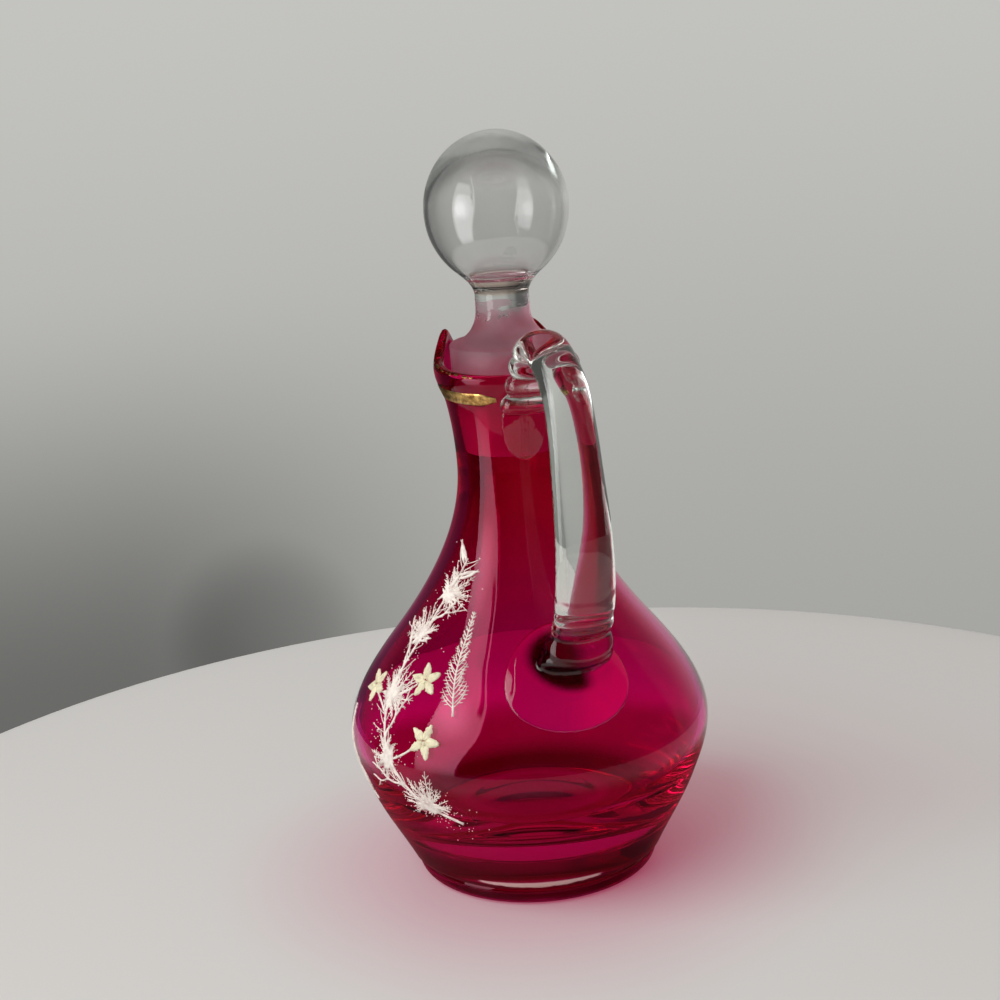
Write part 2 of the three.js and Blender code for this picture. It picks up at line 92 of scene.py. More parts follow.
# The mouth's two pinches and its spout. Their places and widths round the axis are in degrees.
PINCH_ANGLE = 134.0
PINCH_WIDTH = 19.0
PINCH_RISE = 10.0
PINCH_DEPTH = 1.2
PINCH_THINNING = 1.2
PINCH_CURL = 5
SPOUT_ANGLE = 180.0
SPOUT_REACH = 5.0
SPOUT_WIDTH = 28.0
SPOUT_DROP = 1.2
BAND_TOP = RIM_HEIGHT - 5.1

# The slow waves of free-blown glass: each one's share, how many go round, its rise in a radian and its phase.
WAVES = [(1.0, 2, 31, 0.4), (0.6, 3, -17, 2.1), (0.35, 5, 11, 4.0)]
WAVE_DEPTH = 0.06

# The stopper, whose ground plug sits in the bore.
CLEARANCE = 0.3
PLUG_FOOT = COLLAR_RING[0] - 15.0
PLUG_SWELL = 1.1
PLUG_TOP = RIM_HEIGHT + 7.1
PLUG_WALL = 2.8
PLUG_ROUND = 0.8
HOLLOW_RISE = 12.0
HOLLOW_TIP = 1.5
FLARE_RISE = 10.0
WAIST_RADIUS = 8.1
WAIST_RISE = 8.8
BALL_JOIN = 1.2
BALL_RADIUS = 21.5
BALL_HALF_HEIGHT = 23.0
JOIN_RISE = 18.3
JOIN_DROP = 4.6
BALL_SIDE_WALL = 1.3
BALL_TOP_WALL = 4.2
BUBBLE_FLOOR = 3.2
BUBBLE_ROUND = 0.8

# The handle.
STRAP_WIDTH = 14.0
STRAP_THICKNESS = 10.0
STRAP_SPREAD = 4.5
STRAP_END_FLARE = 2.5
GRIP_THINNING = 0.66
GRIP_SPREAD = 1.4
GRIP_OUT = 2.2
HANDLE_REACH = 51.2
ARCH_RISE = 10.3
ARCH_OUT = 9.0
BEND_SHARE = 0.72
REACH_TOP_SHARE = 0.74
REACH_FOOT_SHARE = 0.48
KNEE_SHARE = 0.23
KNEE_OUT_SHARE = 0.6
LANDING_OUT = 0.4
CRIMP_LENGTH = 24.0
CRIMP_COUNT = 4
CRIMP_HEIGHT = 1.7
TOP_SHIFT = -1.6
LANDING_SHIFT = 2.4
FOOT_SHIFT = -2.0
FOOT_PAD = dict(height=SHOULDER_RING[0] - 3.5, shift=-2.9, half_width=19.0, half_height=17.5, thickness=2.6)
NECK_PAD = dict(height=COLLAR_RING[0] - 5.5, shift=-2.0, half_width=7.0, half_height=10.5, thickness=1.1)
PAD_ROUND = 0.8
MELT_GRAIN = 0.34
MELT_ROUNDS = 9

# The rod's foot. Places along the rod count from its end.
WRINKLE_HEIGHT = 0.45
WRINKLE_LENGTH = 6.2
WRINKLES_BEGIN = (4.0, 6.0)
WRINKLES_END = (14.0, 20.0)
BULGE = dict(height=1.7, place=6.0, length=2.8)
UNDERCUT = dict(height=2.5, place=0.8, length=1.8)

# Fused glass is set this far into the glass that it is fused to, so that no air shows between them.
FUSED = 0.15
GRIP_FOOT = COLLAR_RING[0] - 2.0
GRIP_GAP = 0.2

# Painted shade, nearly black, in the fold round the rod's foot: its middle and half its size, as (Y, Z), and where it
# ends.
FOLD_SHADE_PLACE = (-0.6, SHOULDER_RING[0] + 1.0)
FOLD_SHADE_SIZE = (13.0, 8.0)
FOLD_SHADE_EDGE = (0.8, 1.1)
FOLD_SHADE_OFF = (8.0, 12.0)
FOLD_SHADE_SIDE = (0.0, 6.0)

# Painted shade, darker ruby, in the corner round the floor inside: the radii and heights where it begins and ends.
CORNER_SHADE_RADII = (22.5, 26.5)
CORNER_SHADE_FOOT = (15.0, 16.5)
CORNER_SHADE_TOP = (18.0, 23.0)
INNER_SKIN = 1.5

BODY_SIDES = 256
STOPPER_SIDES = 192
STRAP_SIDES = 72
PAD_SIDES = 96
STROKE_SIDES = 7
STROKE_SINK = 0.12
RADIAN_WEIGHT = 40
TABLE_SIDES = 160


def stacked(*parts):
    """Points from their separate coordinates."""
    return np.stack(np.broadcast_arrays(*parts), axis=-1)


def smooth_step(x, low, high):
    t = np.clip((np.asarray(x, float) - low) / (high - low), 0, 1)
    return t * t * (3 - 2 * t)


def between(first, second, z):
    """A cubic through two rings, at the heights z."""
    (z0, r0, lean0), (z1, r1, lean1) = first, second
    rise = z1 - z0
    t = np.clip((z - z0) / rise, 0, 1)
    start = (1 + 2 * t) * (1 - t) ** 2 * r0 + t * (1 - t) ** 2 * rise * lean0
    end = t * t * (3 - 2 * t) * r1 - t * t * (1 - t) * rise * lean1
    return start + end


def outside_radius(z):
    z = np.asarray(z, float)
    radius = between(OUTSIDE_RINGS[0], OUTSIDE_RINGS[1], z)
    for first, second in zip(OUTSIDE_RINGS[1:], OUTSIDE_RINGS[2:]):
        radius = np.where(z > first[0], between(first, second, z), radius)
    return radius


def outside_lean(z):
    step = 0.01
    return (outside_radius(np.asarray(z) + step) - outside_radius(np.asarray(z) - step)) / (2 * step)


def scale_at(z):
    """Millimetres across per radian and along per millimetre of height."""
    return float(outside_radius(z)), hypot(1, float(outside_lean(z)))


def wall_at(z):
    """The wall is thin at the bulb, thicker up the neck, and even round the ground bore."""
    thicker = (NECK_WALL - BULB_WALL) * smooth_step(z, HIP_RING[0], NECK_WALL_FROM)
    return BULB_WALL + thicker - (NECK_WALL - BORE_WALL) * smooth_step(z, BORE_WALL_FROM, NECK_RING[0])


def inside_radius(z):
    z = np.asarray(z, float)
    climb = np.clip((z - BASE_THICKNESS) / (HIP_RING[0] - BASE_THICKNESS), 0, 1)
    bulb = outside_radius(z) - wall_at(z) - CORNER_THICKNESS * (1 - climb) ** CORNER_POWER
    taper = (COLLAR_RING[1] - NECK_RING[1]) / (COLLAR_RING[0] - NECK_RING[0])
    bore = NECK_RING[1] - BORE_WALL + taper * (z - NECK_RING[0])
    return np.where(z > NECK_RING[0], bore, bulb)


def swell(angle, centre, width):
    offset = np.sin((angle - radians(centre)) / 2) / sin(radians(width) / 2)
    return 1 / (1 + offset * offset)


def mouth_points(points):
    """Moves points of the plain round body to their places in the pinched mouth."""
    points = np.array(points, float)
    x, y, z = np.moveaxis(points, -1, 0)
    radius = np.hypot(x, y)
    weight = smooth_step(z, BAND_TOP, LIP_RING[0]) * (radius > LIP_THICKNESS)
    angle = np.arctan2(y, x)
    pinch = swell(angle, PINCH_ANGLE, PINCH_WIDTH) + swell(angle, -PINCH_ANGLE, PINCH_WIDTH)
    spout = swell(angle, SPOUT_ANGLE, SPOUT_WIDTH)
    across = np.clip((radius - LIP_RING[1] + LIP_THICKNESS) / LIP_THICKNESS, 0, 1)
    pull = weight ** PINCH_CURL * pinch * (PINCH_DEPTH + PINCH_THINNING * across)
    moved = radius + weight * SPOUT_REACH * spout - pull
    scale = np.where(radius > 0, moved / np.maximum(radius, 1e-9), 1)
    rise = weight * (PINCH_RISE * pinch - SPOUT_DROP * spout)
    return stacked(x * scale, y * scale, z + rise)


def hand_blown(points):
    """Slow waves in the radius, which fade out towards the axis."""
    x, y, z = np.moveaxis(points, -1, 0)
    radius, angle = np.hypot(x, y), np.arctan2(y, x)
    wave = sum(share * np.sin(count * angle + z / rise + phase) for share, count, rise, phase in WAVES)
    scale = 1 + WAVE_DEPTH * wave * smooth_step(radius, 6, 16) / np.maximum(radius, 1)
    return stacked(x * scale, y * scale, z)


def on_body(angle, z, off):
    """Points of the body's outside at angles and heights, standing off the glass."""
    angle, z, off = np.broadcast_arrays(np.asarray(angle, float), z, off)
    lean = outside_lean(z)
    slope = np.hypot(1, lean)
    radius = outside_radius(z) + off / slope
    points = stacked(radius * np.cos(angle), radius * np.sin(angle), z - off * lean / slope)
    return hand_blown(mouth_points(points))


def arc(x, y, radius_x, radius_y, start, end, steps):
    """Points on an ellipse round (x, y), from start to end in degrees."""
    angles = np.radians(np.linspace(start, end, steps + 1))
    return stacked(x + radius_x * np.cos(angles), y + radius_y * np.sin(angles))


def new_object(name, vertices, faces):
    mesh = bpy.data.meshes.new(name)
    mesh.from_pydata((np.asarray(vertices) * MM).tolist(), [], faces)
    mesh.validate()
    mesh.shade_smooth()
    piece = bpy.data.objects.new(name, mesh)
    bpy.context.scene.collection.objects.link(piece)
    return piece


def points_of(piece):
    points = np.empty(len(piece.data.vertices) * 3, np.float32)
    piece.data.vertices.foreach_get("co", points)
    return points.reshape(-1, 3).astype(float) / MM


def mark(piece, name, flags):
    """Keeps a number for each vertex, for a material to read."""
    kept = piece.data.attributes.new(name, "FLOAT", "POINT")
    kept.data.foreach_set("value", np.asarray(flags, np.float32))


def turned(profile, sides):
    """A profile of (radius, height) turned round +Z, as rings of points [place on the profile, side]."""
    angles = np.arange(sides) * TURN / sides
    radius, height = profile.T[:, :, None]
    return stacked(np.cos(angles) * radius, np.sin(angles) * radius, height)


def ring_skin(rings, ends=None):
    """A closed skin over rings of equal length [ring, point], with a fan at both ends to a point or to its middle."""
    rings = np.asarray(rings, float)
    count, sides = rings.shape[:2]
    vertices = np.vstack([rings.reshape(-1, 3), rings[[0, -1]].mean(1) if ends is None else ends])
    first, last = len(vertices) - 2, len(vertices) - 1
    faces = []
    for side in range(sides):
        a, b = side, (side + 1) % sides
        faces.append((b, a, first))
        for start in range(0, (count - 1) * sides, sides):
            faces.append((a + start, b + start, b + start + sides, a + start + sides))
        faces.append((a + (count - 1) * sides, b + (count - 1) * sides, last))
    return vertices, faces


def turned_skin(rings):
    """A closed skin over a turned profile that begins and ends on the axis."""
    return ring_skin(rings[1:-1], rings[[0, -1], 0])


def join_skins(skins):
    vertices, faces, start = [], [], 0
    for points, polygons in skins:
        vertices.append(points)
        faces.extend(tuple(i + start for i in polygon) for polygon in polygons)
        start += len(points)
    return np.vstack(vertices), faces


def stretch(radius_at, low, high, count):
    """A stretch of profile whose radius goes by its height."""
    heights = np.linspace(low, high, count)
    return stacked(radius_at(heights), heights)


def body_profile():
    """The body's section as one line, from the middle of its underside over the lip to the middle of its floor."""
    hollow = np.linspace(0, PONTIL_RADIUS, 14)
    underside = stacked(hollow, PONTIL_DEPTH * (1 - (hollow / PONTIL_RADIUS) ** 2) ** 1.5)
    flat = stacked(np.linspace(PONTIL_RADIUS + 1, CONTACT_RADIUS - 1, 5), 0)
    edge = arc(CONTACT_RADIUS, FOOT_EDGE, FOOT_RADIUS - CONTACT_RADIUS, FOOT_EDGE, -90, 0, 18)
    groove = np.array(GROOVE) + (FOOT_RADIUS, FOOT_RISE)
    side = stretch(outside_radius, SIDE_FOOT, LIP_RING[0], 170)
    lip = arc(LIP_RING[1] - LIP_ROUND, LIP_RING[0], LIP_ROUND, LIP_ROUND, 0, 180, 20)[1:]
    throat_foot = (COLLAR_RING[0], COLLAR_RING[1] - BORE_WALL, COLLAR_RING[2])
    throat_top = (LIP_RING[0], LIP_RING[1] - LIP_THICKNESS, LIP_RING[2])
    throat = stretch(partial(between, throat_foot, throat_top), LIP_RING[0], COLLAR_RING[0], 14)[1:-1]
    inner = stretch(inside_radius, COLLAR_RING[0], BASE_THICKNESS + FLOOR_ROUND / 2, 150)
    knee = np.array([float(inside_radius(BASE_THICKNESS)), BASE_THICKNESS])
    floor_edge = knee - (FLOOR_ROUND, 0)
    t = np.linspace(0, 1, 9)[1:, None]
    corner = (1 - t) ** 2 * inner[-1] + 2 * t * (1 - t) * knee + t ** 2 * floor_edge
    ledge_radii = np.linspace(floor_edge[0], DISH_OUTSIDE + 0.4, 5)[1:]
    floor_radii = np.append(ledge_radii, np.linspace(DISH_OUTSIDE, 0, 40))
    dish = DISH_DEPTH * (1 - smooth_step(floor_radii, DISH_INSIDE, DISH_OUTSIDE))
    floor = stacked(floor_radii, BASE_THICKNESS - dish)
    return np.vstack([underside, flat, edge, groove, side, lip, throat, inner, corner, floor])


def make_body():
    rings = hand_blown(mouth_points(turned(body_profile(), BODY_SIDES)))
    return new_object("ruby_body", *turned_skin(rings))


def mark_body(body):
    """Marks the body's outside where the handle's pads cover it, and the painted shade in the corner round the floor
    inside.
    """
    x, y, z = points_of(body).T
    angle, radius = np.arctan2(y, x), np.hypot(x, y)
    covered = np.zeros(len(z))
    for pad in (FOOT_PAD, NECK_PAD):
        height, half_width = pad["height"], pad["half_width"]
        around, slope = scale_at(height)
        across = (angle * around - pad["shift"]) / half_width
        along = (z - height) * slope / pad["half_height"]
        covered = np.maximum(covered, 0.5 + (0.99 - np.hypot(across, along)) * half_width / 2)
    inside = radius < outside_radius(z) - INNER_SKIN
    mark(body, "fused", np.where(inside, 0, np.clip(covered, 0, 1)))
    # Painted shade in the floor's inner corner.
    corner_shade = smooth_step(radius, *CORNER_SHADE_RADII) * smooth_step(z, *CORNER_SHADE_FOOT) * (1 - smooth_step(z, *CORNER_SHADE_TOP))
    mark(body, "corner_shade", np.where(inside, corner_shade, 0))


PLUG_FOOT_RADIUS = float(inside_radius(PLUG_FOOT)) - CLEARANCE
PLUG_COLLAR_RADIUS = COLLAR_RING[1] - BORE_WALL - CLEARANCE
PLUG_TOP_RADIUS = PLUG_COLLAR_RADIUS + PLUG_SWELL
WAIST_FOOT = PLUG_TOP + FLARE_RISE
WAIST_TOP = WAIST_FOOT + WAIST_RISE
JOIN_SHARE = (WAIST_RADIUS + BALL_JOIN) / BALL_RADIUS
BALL_MIDDLE = WAIST_TOP + BALL_HALF_HEIGHT * sqrt(1 - JOIN_SHARE ** 2)


def softened(points, rounds=2):
    """Rounds the corners of a profile's inner points a little."""
    for _ in range(rounds):
        middle = (points[:-2] + 2 * points[1:-1] + points[2:]) / 4
        points = np.vstack([points[:1], middle, points[-1:]])
    return points


def stopper_profile():
    """One line from the top of the plug's hollow, down round the plug's foot and up the outside to the ball's top."""
    foot = arc(PLUG_FOOT_RADIUS - PLUG_ROUND, PLUG_FOOT + PLUG_ROUND, PLUG_ROUND, PLUG_ROUND, -90, 0, 8)
    plug = stretch(inside_radius, PLUG_FOOT + 1.5, COLLAR_RING[0], 16) - (CLEARANCE, 0)
    collar, top = (COLLAR_RING[0], PLUG_COLLAR_RADIUS, 0.1), (PLUG_TOP, PLUG_TOP_RADIUS, 0)
    mouth = stretch(partial(between, collar, top), COLLAR_RING[0] + 1, PLUG_TOP - PLUG_ROUND, 16)
    edge = arc(PLUG_TOP_RADIUS - PLUG_ROUND, PLUG_TOP - PLUG_ROUND, PLUG_ROUND, PLUG_ROUND, 5, 90, 8)
    flare = arc(PLUG_TOP_RADIUS, WAIST_FOOT, PLUG_TOP_RADIUS - WAIST_RADIUS, FLARE_RISE, 255, 180, 26)
    waist = (WAIST_TOP - JOIN_DROP, WAIST_RADIUS, 0)
    share = JOIN_RISE / BALL_HALF_HEIGHT
    level = sqrt(1 - share ** 2)
    shoulder = (BALL_MIDDLE - JOIN_RISE, BALL_RADIUS * level, BALL_RADIUS * share / BALL_HALF_HEIGHT / level)
    join = stretch(partial(between, waist, shoulder), WAIST_FOOT, shoulder[0], 24)[1:-1]
    ball = arc(0, BALL_MIDDLE, BALL_RADIUS, BALL_HALF_HEIGHT, -np.degrees(np.arcsin(share)), 90, 72)
    outside = softened(np.vstack([foot, plug, mouth, edge, flare, join, ball]))
    throat = PLUG_TOP_RADIUS - PLUG_WALL
    ceiling = WAIST_FOOT - PLUG_WALL
    crown = stacked(np.linspace(0, HOLLOW_TIP, 4)[:-1], ceiling + 0.6)
    cone = arc(throat, ceiling, throat - HOLLOW_TIP, FLARE_RISE - 1, 180, 268, 24)[1:]
    hollow_top = COLLAR_RING[0] + HOLLOW_RISE
    bore_radii = [PLUG_FOOT_RADIUS - PLUG_WALL, PLUG_COLLAR_RADIUS - PLUG_WALL, throat - 0.6]
    bore_at = partial(np.interp, xp=[PLUG_FOOT, COLLAR_RING[0], hollow_top], fp=bore_radii)
    inside = softened(np.vstack([crown, cone, stretch(bore_at, hollow_top, PLUG_FOOT + 0.4, 20)]))
    return np.vstack([inside, outside])


def bubble_profile():
    """The bubble in the ball, from its top to its flat floor. It is wide and follows the ball's outside."""
    radius = BALL_RADIUS - BALL_SIDE_WALL
    floor = BALL_HALF_HEIGHT - BUBBLE_FLOOR
    upper = arc(0, BALL_MIDDLE, radius, BALL_HALF_HEIGHT - BALL_TOP_WALL, 90, 0, 40)
    depth = BALL_HALF_HEIGHT - BALL_SIDE_WALL / 2
    lowest = np.degrees(np.arcsin((floor - BUBBLE_ROUND) / depth))
    lower = arc(0, BALL_MIDDLE, radius, depth, 0, -lowest, 40)[1:]
    foot = stacked(np.linspace(lower[-1, 0] - BUBBLE_ROUND, 0, 12), BALL_MIDDLE - floor)
    return softened(np.vstack([upper, lower, foot]), 4)


def make_stopper():
    """The plug's hollow is open at its foot, and the bubble in the ball is closed."""
    skins = [turned_skin(turned(profile, STOPPER_SIDES)) for profile in (stopper_profile(), bubble_profile())]
    return new_object("ball_stopper", *join_skins(skins))


def blend(t, low, high, first, second):
    return (high - t) / (high - low) * first + (t - low) / (high - low) * second


def run_along(points, power=1.0):
    """How far along a line each of its points is."""
    return np.append(0, np.cumsum(np.linalg.norm(np.diff(points, axis=0), axis=1) ** power))


def catmull_rom(stops, count):
    """Points evenly spaced along the centripetal curve through the stops, as (points, tangents, length)."""
    stops = np.asarray(stops, float)
    padded = np.vstack([2 * stops[0] - stops[1], stops, 2 * stops[-1] - stops[-2]])
    dense = []
    for i in range(1, len(padded) - 2):
        p = padded[i - 1:i + 3]
        knots = run_along(p, 0.5)
        t = np.linspace(knots[1], knots[2], 60, endpoint=False)[:, None]
        a = [blend(t, knots[j], knots[j + 1], p[j], p[j + 1]) for j in range(3)]
        b = [blend(t, knots[j], knots[j + 2], a[j], a[j + 1]) for j in range(2)]
        dense.append(blend(t, knots[1], knots[2], b[0], b[1]))
    dense = np.vstack([*dense, stops[-1:]])
    run = run_along(dense)
    places = np.linspace(0, run[-1], count)
    points = stacked(*(np.interp(places, run, coordinate) for coordinate in dense.T))
    tangents = np.gradient(points, axis=0)
    return points, tangents / np.linalg.norm(tangents, axis=1)[:, None], run[-1]


def handle_stops():
    """The rod's middle line, as stops (out from the axis, sideways, height) from the grip to the landing."""
    grip = COLLAR_RING[0] - SHOULDER_RING[0]
    crest_out = LIP_RING[1] + ARCH_OUT
    bend_out = crest_out + (HANDLE_REACH - crest_out) * BEND_SHARE
    knee_out = SHOULDER_RING[1] + (HANDLE_REACH - SHOULDER_RING[1]) * KNEE_OUT_SHARE
    stops = [
        (COLLAR_RING[1] + GRIP_OUT, COLLAR_RING[0]),
        (LIP_RING[1] + GRIP_OUT, RIM_HEIGHT),
        (crest_out, RIM_HEIGHT + ARCH_RISE),
        (bend_out, RIM_HEIGHT + CLEARANCE),
        (HANDLE_REACH, SHOULDER_RING[0] + REACH_TOP_SHARE * grip),
        (HANDLE_REACH, SHOULDER_RING[0] + REACH_FOOT_SHARE * grip),
        (knee_out, SHOULDER_RING[0] + KNEE_SHARE * grip),
        (SHOULDER_RING[1] + LANDING_OUT, SHOULDER_RING[0]),
    ]
    last = len(stops) - 1
    shifts = np.linspace(TOP_SHIFT, LANDING_SHIFT, len(stops)) + np.append(np.zeros(last), FOOT_SHIFT)
    return [(out, shift, z) for (out, z), shift in zip(stops, shifts)]


def hump(x, height, place, length):
    """A smooth bump of a height at a place, and the half length over which it falls off."""
    return height * np.exp(-((x - place) / length) ** 2)


def strap_skin():
    """The rod along its curve, with its grip's crimps and the wrinkles, bulge and undercut of its foot."""
    points, tangents, length = catmull_rom(handle_stops(), 300)
    share = np.linspace(0, 1, len(points))
    distance = share * length
    sideways = np.array([0.0, 1.0, 0.0])
    outward = np.cross(tangents, sideways)
    outward /= np.linalg.norm(outward, axis=1)[:, None]
    eased = smooth_step(distance, 0, CRIMP_LENGTH * 1.4)
    fade = 1 - smooth_step(distance, CRIMP_LENGTH * 0.7, CRIMP_LENGTH)
    crimp = CRIMP_HEIGHT * fade * (2 * np.abs(np.sin(pi * CRIMP_COUNT * distance / CRIMP_LENGTH)) ** 0.7 - 1)
    from_foot = length - distance
    flare = STRAP_END_FLARE * smooth_step(share, 0.9, 1)
    wrinkled = smooth_step(from_foot, *WRINKLES_BEGIN) * (1 - smooth_step(from_foot, *WRINKLES_END))
    crimp = crimp + WRINKLE_HEIGHT * wrinkled * np.sin(TURN * from_foot / WRINKLE_LENGTH)
    bulge = hump(from_foot, **BULGE) - hump(from_foot, **UNDERCUT)
    spread = GRIP_SPREAD * (1 - smooth_step(distance, 0, CRIMP_LENGTH / 2)) + flare
    half_width = (STRAP_WIDTH + STRAP_SPREAD * smooth_step(share, 0.3, 0.85) + crimp) / 2 + spread
    thinning = GRIP_THINNING + (1 - GRIP_THINNING) * eased
    half_thickness = STRAP_THICKNESS / 2 * thinning + flare + crimp + bulge
    angles = np.arange(STRAP_SIDES) * TURN / STRAP_SIDES
    across = half_width[:, None, None] * np.cos(angles)[None, :, None] * sideways
    through = half_thickness[:, None, None] * np.sin(angles)[None, :, None] * outward[:, None, :]
    return ring_skin(points[:, None, :] + across + through)


def pad_skin(height, shift, half_width, half_height, thickness):
    """A low dome on the body with an even rim, whose underside is sunk in the glass."""
    edge = min(PAD_ROUND, thickness / 2)
    radius, slope = scale_at(height)
    shares = np.concatenate([[0.2, 0.6, 0.9, 0.985], [1.0], np.sqrt(1 - np.linspace(0.06, 0.99, 14) ** 2)])
    dome = edge / 2 + (thickness - edge / 2) * (1 - shares ** 2)
    offs = np.concatenate([[-1.0] * 4, [0.0], dome[5:]])
    angles = np.arange(PAD_SIDES) * TURN / PAD_SIDES
    across = (shift + half_width * shares[:, None] * np.cos(angles)) / radius
    along = height + half_height * shares[:, None] * np.sin(angles) / slope
    return ring_skin(on_body(across, along, offs[:, None]))


def press_on_body(points):
    """Brings points that lie in the body out to just under its surface, where the handle is fused to it.
    The crimped grip only touches the neck, and a film of air shows under it."""
    x, y, z = points.T
    radius = np.hypot(x, y)
    over = np.clip(z - LIP_RING[0], 0, LIP_ROUND)
    rounding = np.sqrt(LIP_ROUND ** 2 - over ** 2) - LIP_ROUND
    surface = outside_radius(z) + np.where(z > LIP_RING[0], rounding, 0)
    fit = surface / np.maximum(radius, 1e-6)
    under = hand_blown(mouth_points(stacked(x * fit, y * fit, z)))
    surface = np.hypot(under[:, 0], under[:, 1])
    grip = smooth_step(z, GRIP_FOOT, GRIP_FOOT + 1)
    least = np.where(z < RIM_HEIGHT, surface - FUSED + (FUSED + GRIP_GAP) * grip, 0)
    inside = (radius < least + FUSED * 0.9) & (z < GRIP_FOOT)
    scale = np.where(radius < least, least / np.maximum(radius, 1e-6), 1)
    return stacked(x * scale, y * scale, z), inside


def fold_shade_at(points):
    """How much painted shade darkens the glass in the fold round the rod's foot."""
    x, y, z = points.T
    off = np.hypot(x, y) - outside_radius(z)
    place = np.hypot((y - FOLD_SHADE_PLACE[0]) / FOLD_SHADE_SIZE[0], (z - FOLD_SHADE_PLACE[1]) / FOLD_SHADE_SIZE[1])
    ends = [smooth_step(place, *FOLD_SHADE_EDGE), smooth_step(off, *FOLD_SHADE_OFF), smooth_step(y, *FOLD_SHADE_SIDE)]
    return (1 - ends[0]) * (1 - ends[1]) * (1 - ends[2])


def make_handle():
    """The rod and its two pads melted into one skin, smoothed, and pressed on the body."""
    skins = [strap_skin(), pad_skin(**FOOT_PAD), pad_skin(**NECK_PAD)]
    piece = new_object("clear_handle", *join_skins(skins))
    melt = piece.modifiers.new("melt", "REMESH")
    melt.mode = "VOXEL"
    melt.voxel_size = MELT_GRAIN * MM
    ease = piece.modifiers.new("ease", "SMOOTH")
    ease.factor = 0.5
    ease.iterations = MELT_ROUNDS
    melted = piece.evaluated_get(bpy.context.evaluated_depsgraph_get())
    mesh = bpy.data.meshes.new_from_object(melted)
    piece.modifiers.clear()
    piece.data = mesh
    mesh.shade_smooth()
    points, inside = press_on_body(points_of(piece))
    mesh.vertices.foreach_set("co", (points * MM).astype(np.float32).ravel())
    mesh.update()
    mark(piece, "fused", inside)
    # Painted shade in the fold round the rod's foot.
    mark(piece, "fold_shade", fold_shade_at(points))
    return piece


def ribbon_skin(places, widths, height, shape=0.5):
    """A raised stroke on the body along places (angle, height), with a domed section and a sunk underside."""
    places = np.asarray(places, float)
    half_widths = np.broadcast_to(widths, len(places))[:, None, None] / 2
    middle = on_body(places[:, 0], places[:, 1], 0)
    normal = on_body(places[:, 0], places[:, 1], 1) - middle
    normal /= np.linalg.norm(normal, axis=1)[:, None]
    across = np.cross(normal, np.gradient(middle, axis=0))
    across /= np.linalg.norm(across, axis=1)[:, None]
    middle, normal, across = middle[:, None], normal[:, None], across[:, None]
    sides = np.linspace(-1, 1, STROKE_SIDES)[:, None]
    top = middle + across * sides * half_widths + normal * height * (1 - sides ** 2) ** shape
    low = middle + across * np.array([[1.0], [-1.0]]) * half_widths - normal * STROKE_SINK
    return ring_skin(np.concatenate([top, low], axis=1)[:, ::-1])


def place_at(degrees, share):
    return radians(degrees), FOOT_RISE + (NECK_RING[0] - FOOT_RISE) * share


def step_on(place, heading, distance):
    across, along = scale_at(place[1])
    return place[0] + cos(heading) * distance / across, place[1] + sin(heading) * distance / along


def reach_to(start, end):
    across, along = scale_at((start[1] + end[1]) / 2)
    x, y = (end[0] - start[0]) * across, (end[1] - start[1]) * along
    return hypot(x, y), atan2(y, x)


def curve_on(stops, count):
    """Points evenly spaced along a smooth curve through places."""
    weight = np.array([RADIAN_WEIGHT, 1, 1])
    points = np.array([(*place_at(*stop), 0.0) for stop in stops]) * weight
    return (catmull_rom(points, count)[0] / weight)[:, :2]


def spot_on(line, share):
    """A line's place and heading there, at a share of its length."""
    at = round(share * (len(line) - 1))
    return line[at], reach_to(line[max(at - 1, 0)], line[min(at + 1, len(line) - 1)])[1]


class Brush:
    """Draws enamel strokes on the body and keeps their skins."""

    def __init__(self, seed):
        self.random = np.random.default_rng(seed)
        self.skins = []

    def stroke(self, start, heading, length, width, height=0.3, bend=0.0, fade=0.3, steps=9, shape=0.5):
        """A stroke from a place, turning by bend over its length, whose width swells and fades like a brush mark."""
        places, place = [start], start
        for i in range(steps):
            place = step_on(place, heading + bend * (i + 0.5) / steps, length / steps)
            places.append(place)
        t = np.linspace(0, 1, steps + 1)
        widths = width * (fade + (1 - fade) * np.sin(pi * t ** 0.8)) * (1 + 0.1 * self.random.normal(size=steps + 1))
        self.skins.append(ribbon_skin(places, np.maximum(widths, 0.08), height, shape))
        return place

    def line(self, stops, width, height, steps):
        """A long stroke that tapers to half its width."""
        line = curve_on(stops, steps + 1)
        taper = 1 - 0.5 * np.linspace(0, 1, steps + 1)
        self.skins.append(ribbon_skin(line, width * taper * (1 + 0.08 * self.random.normal(size=steps + 1)), height))
        return line

    def dot(self, place, size, height):
        """A dab, as a short stroke about as wide as it is long."""
        self.stroke(place, self.random.uniform(0, TURN), size, size, height, fade=0.45, steps=4)

    def finish(self, name):
        return new_object(name, *join_skins(self.skins))


# The enamel's lines run through places of (degrees, share of the height from foot to neck). Along the main stem
# stand blossoms (place, share of the stem), and leaves, tufts and twigs (share, side, length).
MAIN_STEM = [(-44, 0.22), (-58, 0.27), (-72, 0.39), (-79, 0.53), (-74, 0.68), (-62, 0.8)]
BLOSSOM_SPOTS = [((-56, 0.42), 0.3), ((-63, 0.54), 0.5), ((-91, 0.49), 0.45)]
UPPER_FERN = [(-47, 0.48), (-50, 0.58), (-48, 0.69)]
LOWER_FERN = [(-88, 0.2), (-97, 0.3), (-102, 0.42)]
LEAVES = [(0.92, -1, 8.0), (0.98, 1, 8.0)]
TUFTS = [(0.1, -1, 12.0), (0.3, 1, 10.0), (0.5, -1, 13.0), (0.7, 1, 10.0), (0.86, -1, 10.5)]
TWIGS = [(0.2, 1, 7.0), (0.38, -1, 6.5), (0.6, 1, 7.0), (0.76, -1, 5.0)]
LEAF_ANGLE = radians(48)
TUFT_ANGLE = radians(52)
TWIG_ANGLE = radians(34)
STEM_WIDTH = 1.0
TWIG_WIDTH = 0.85
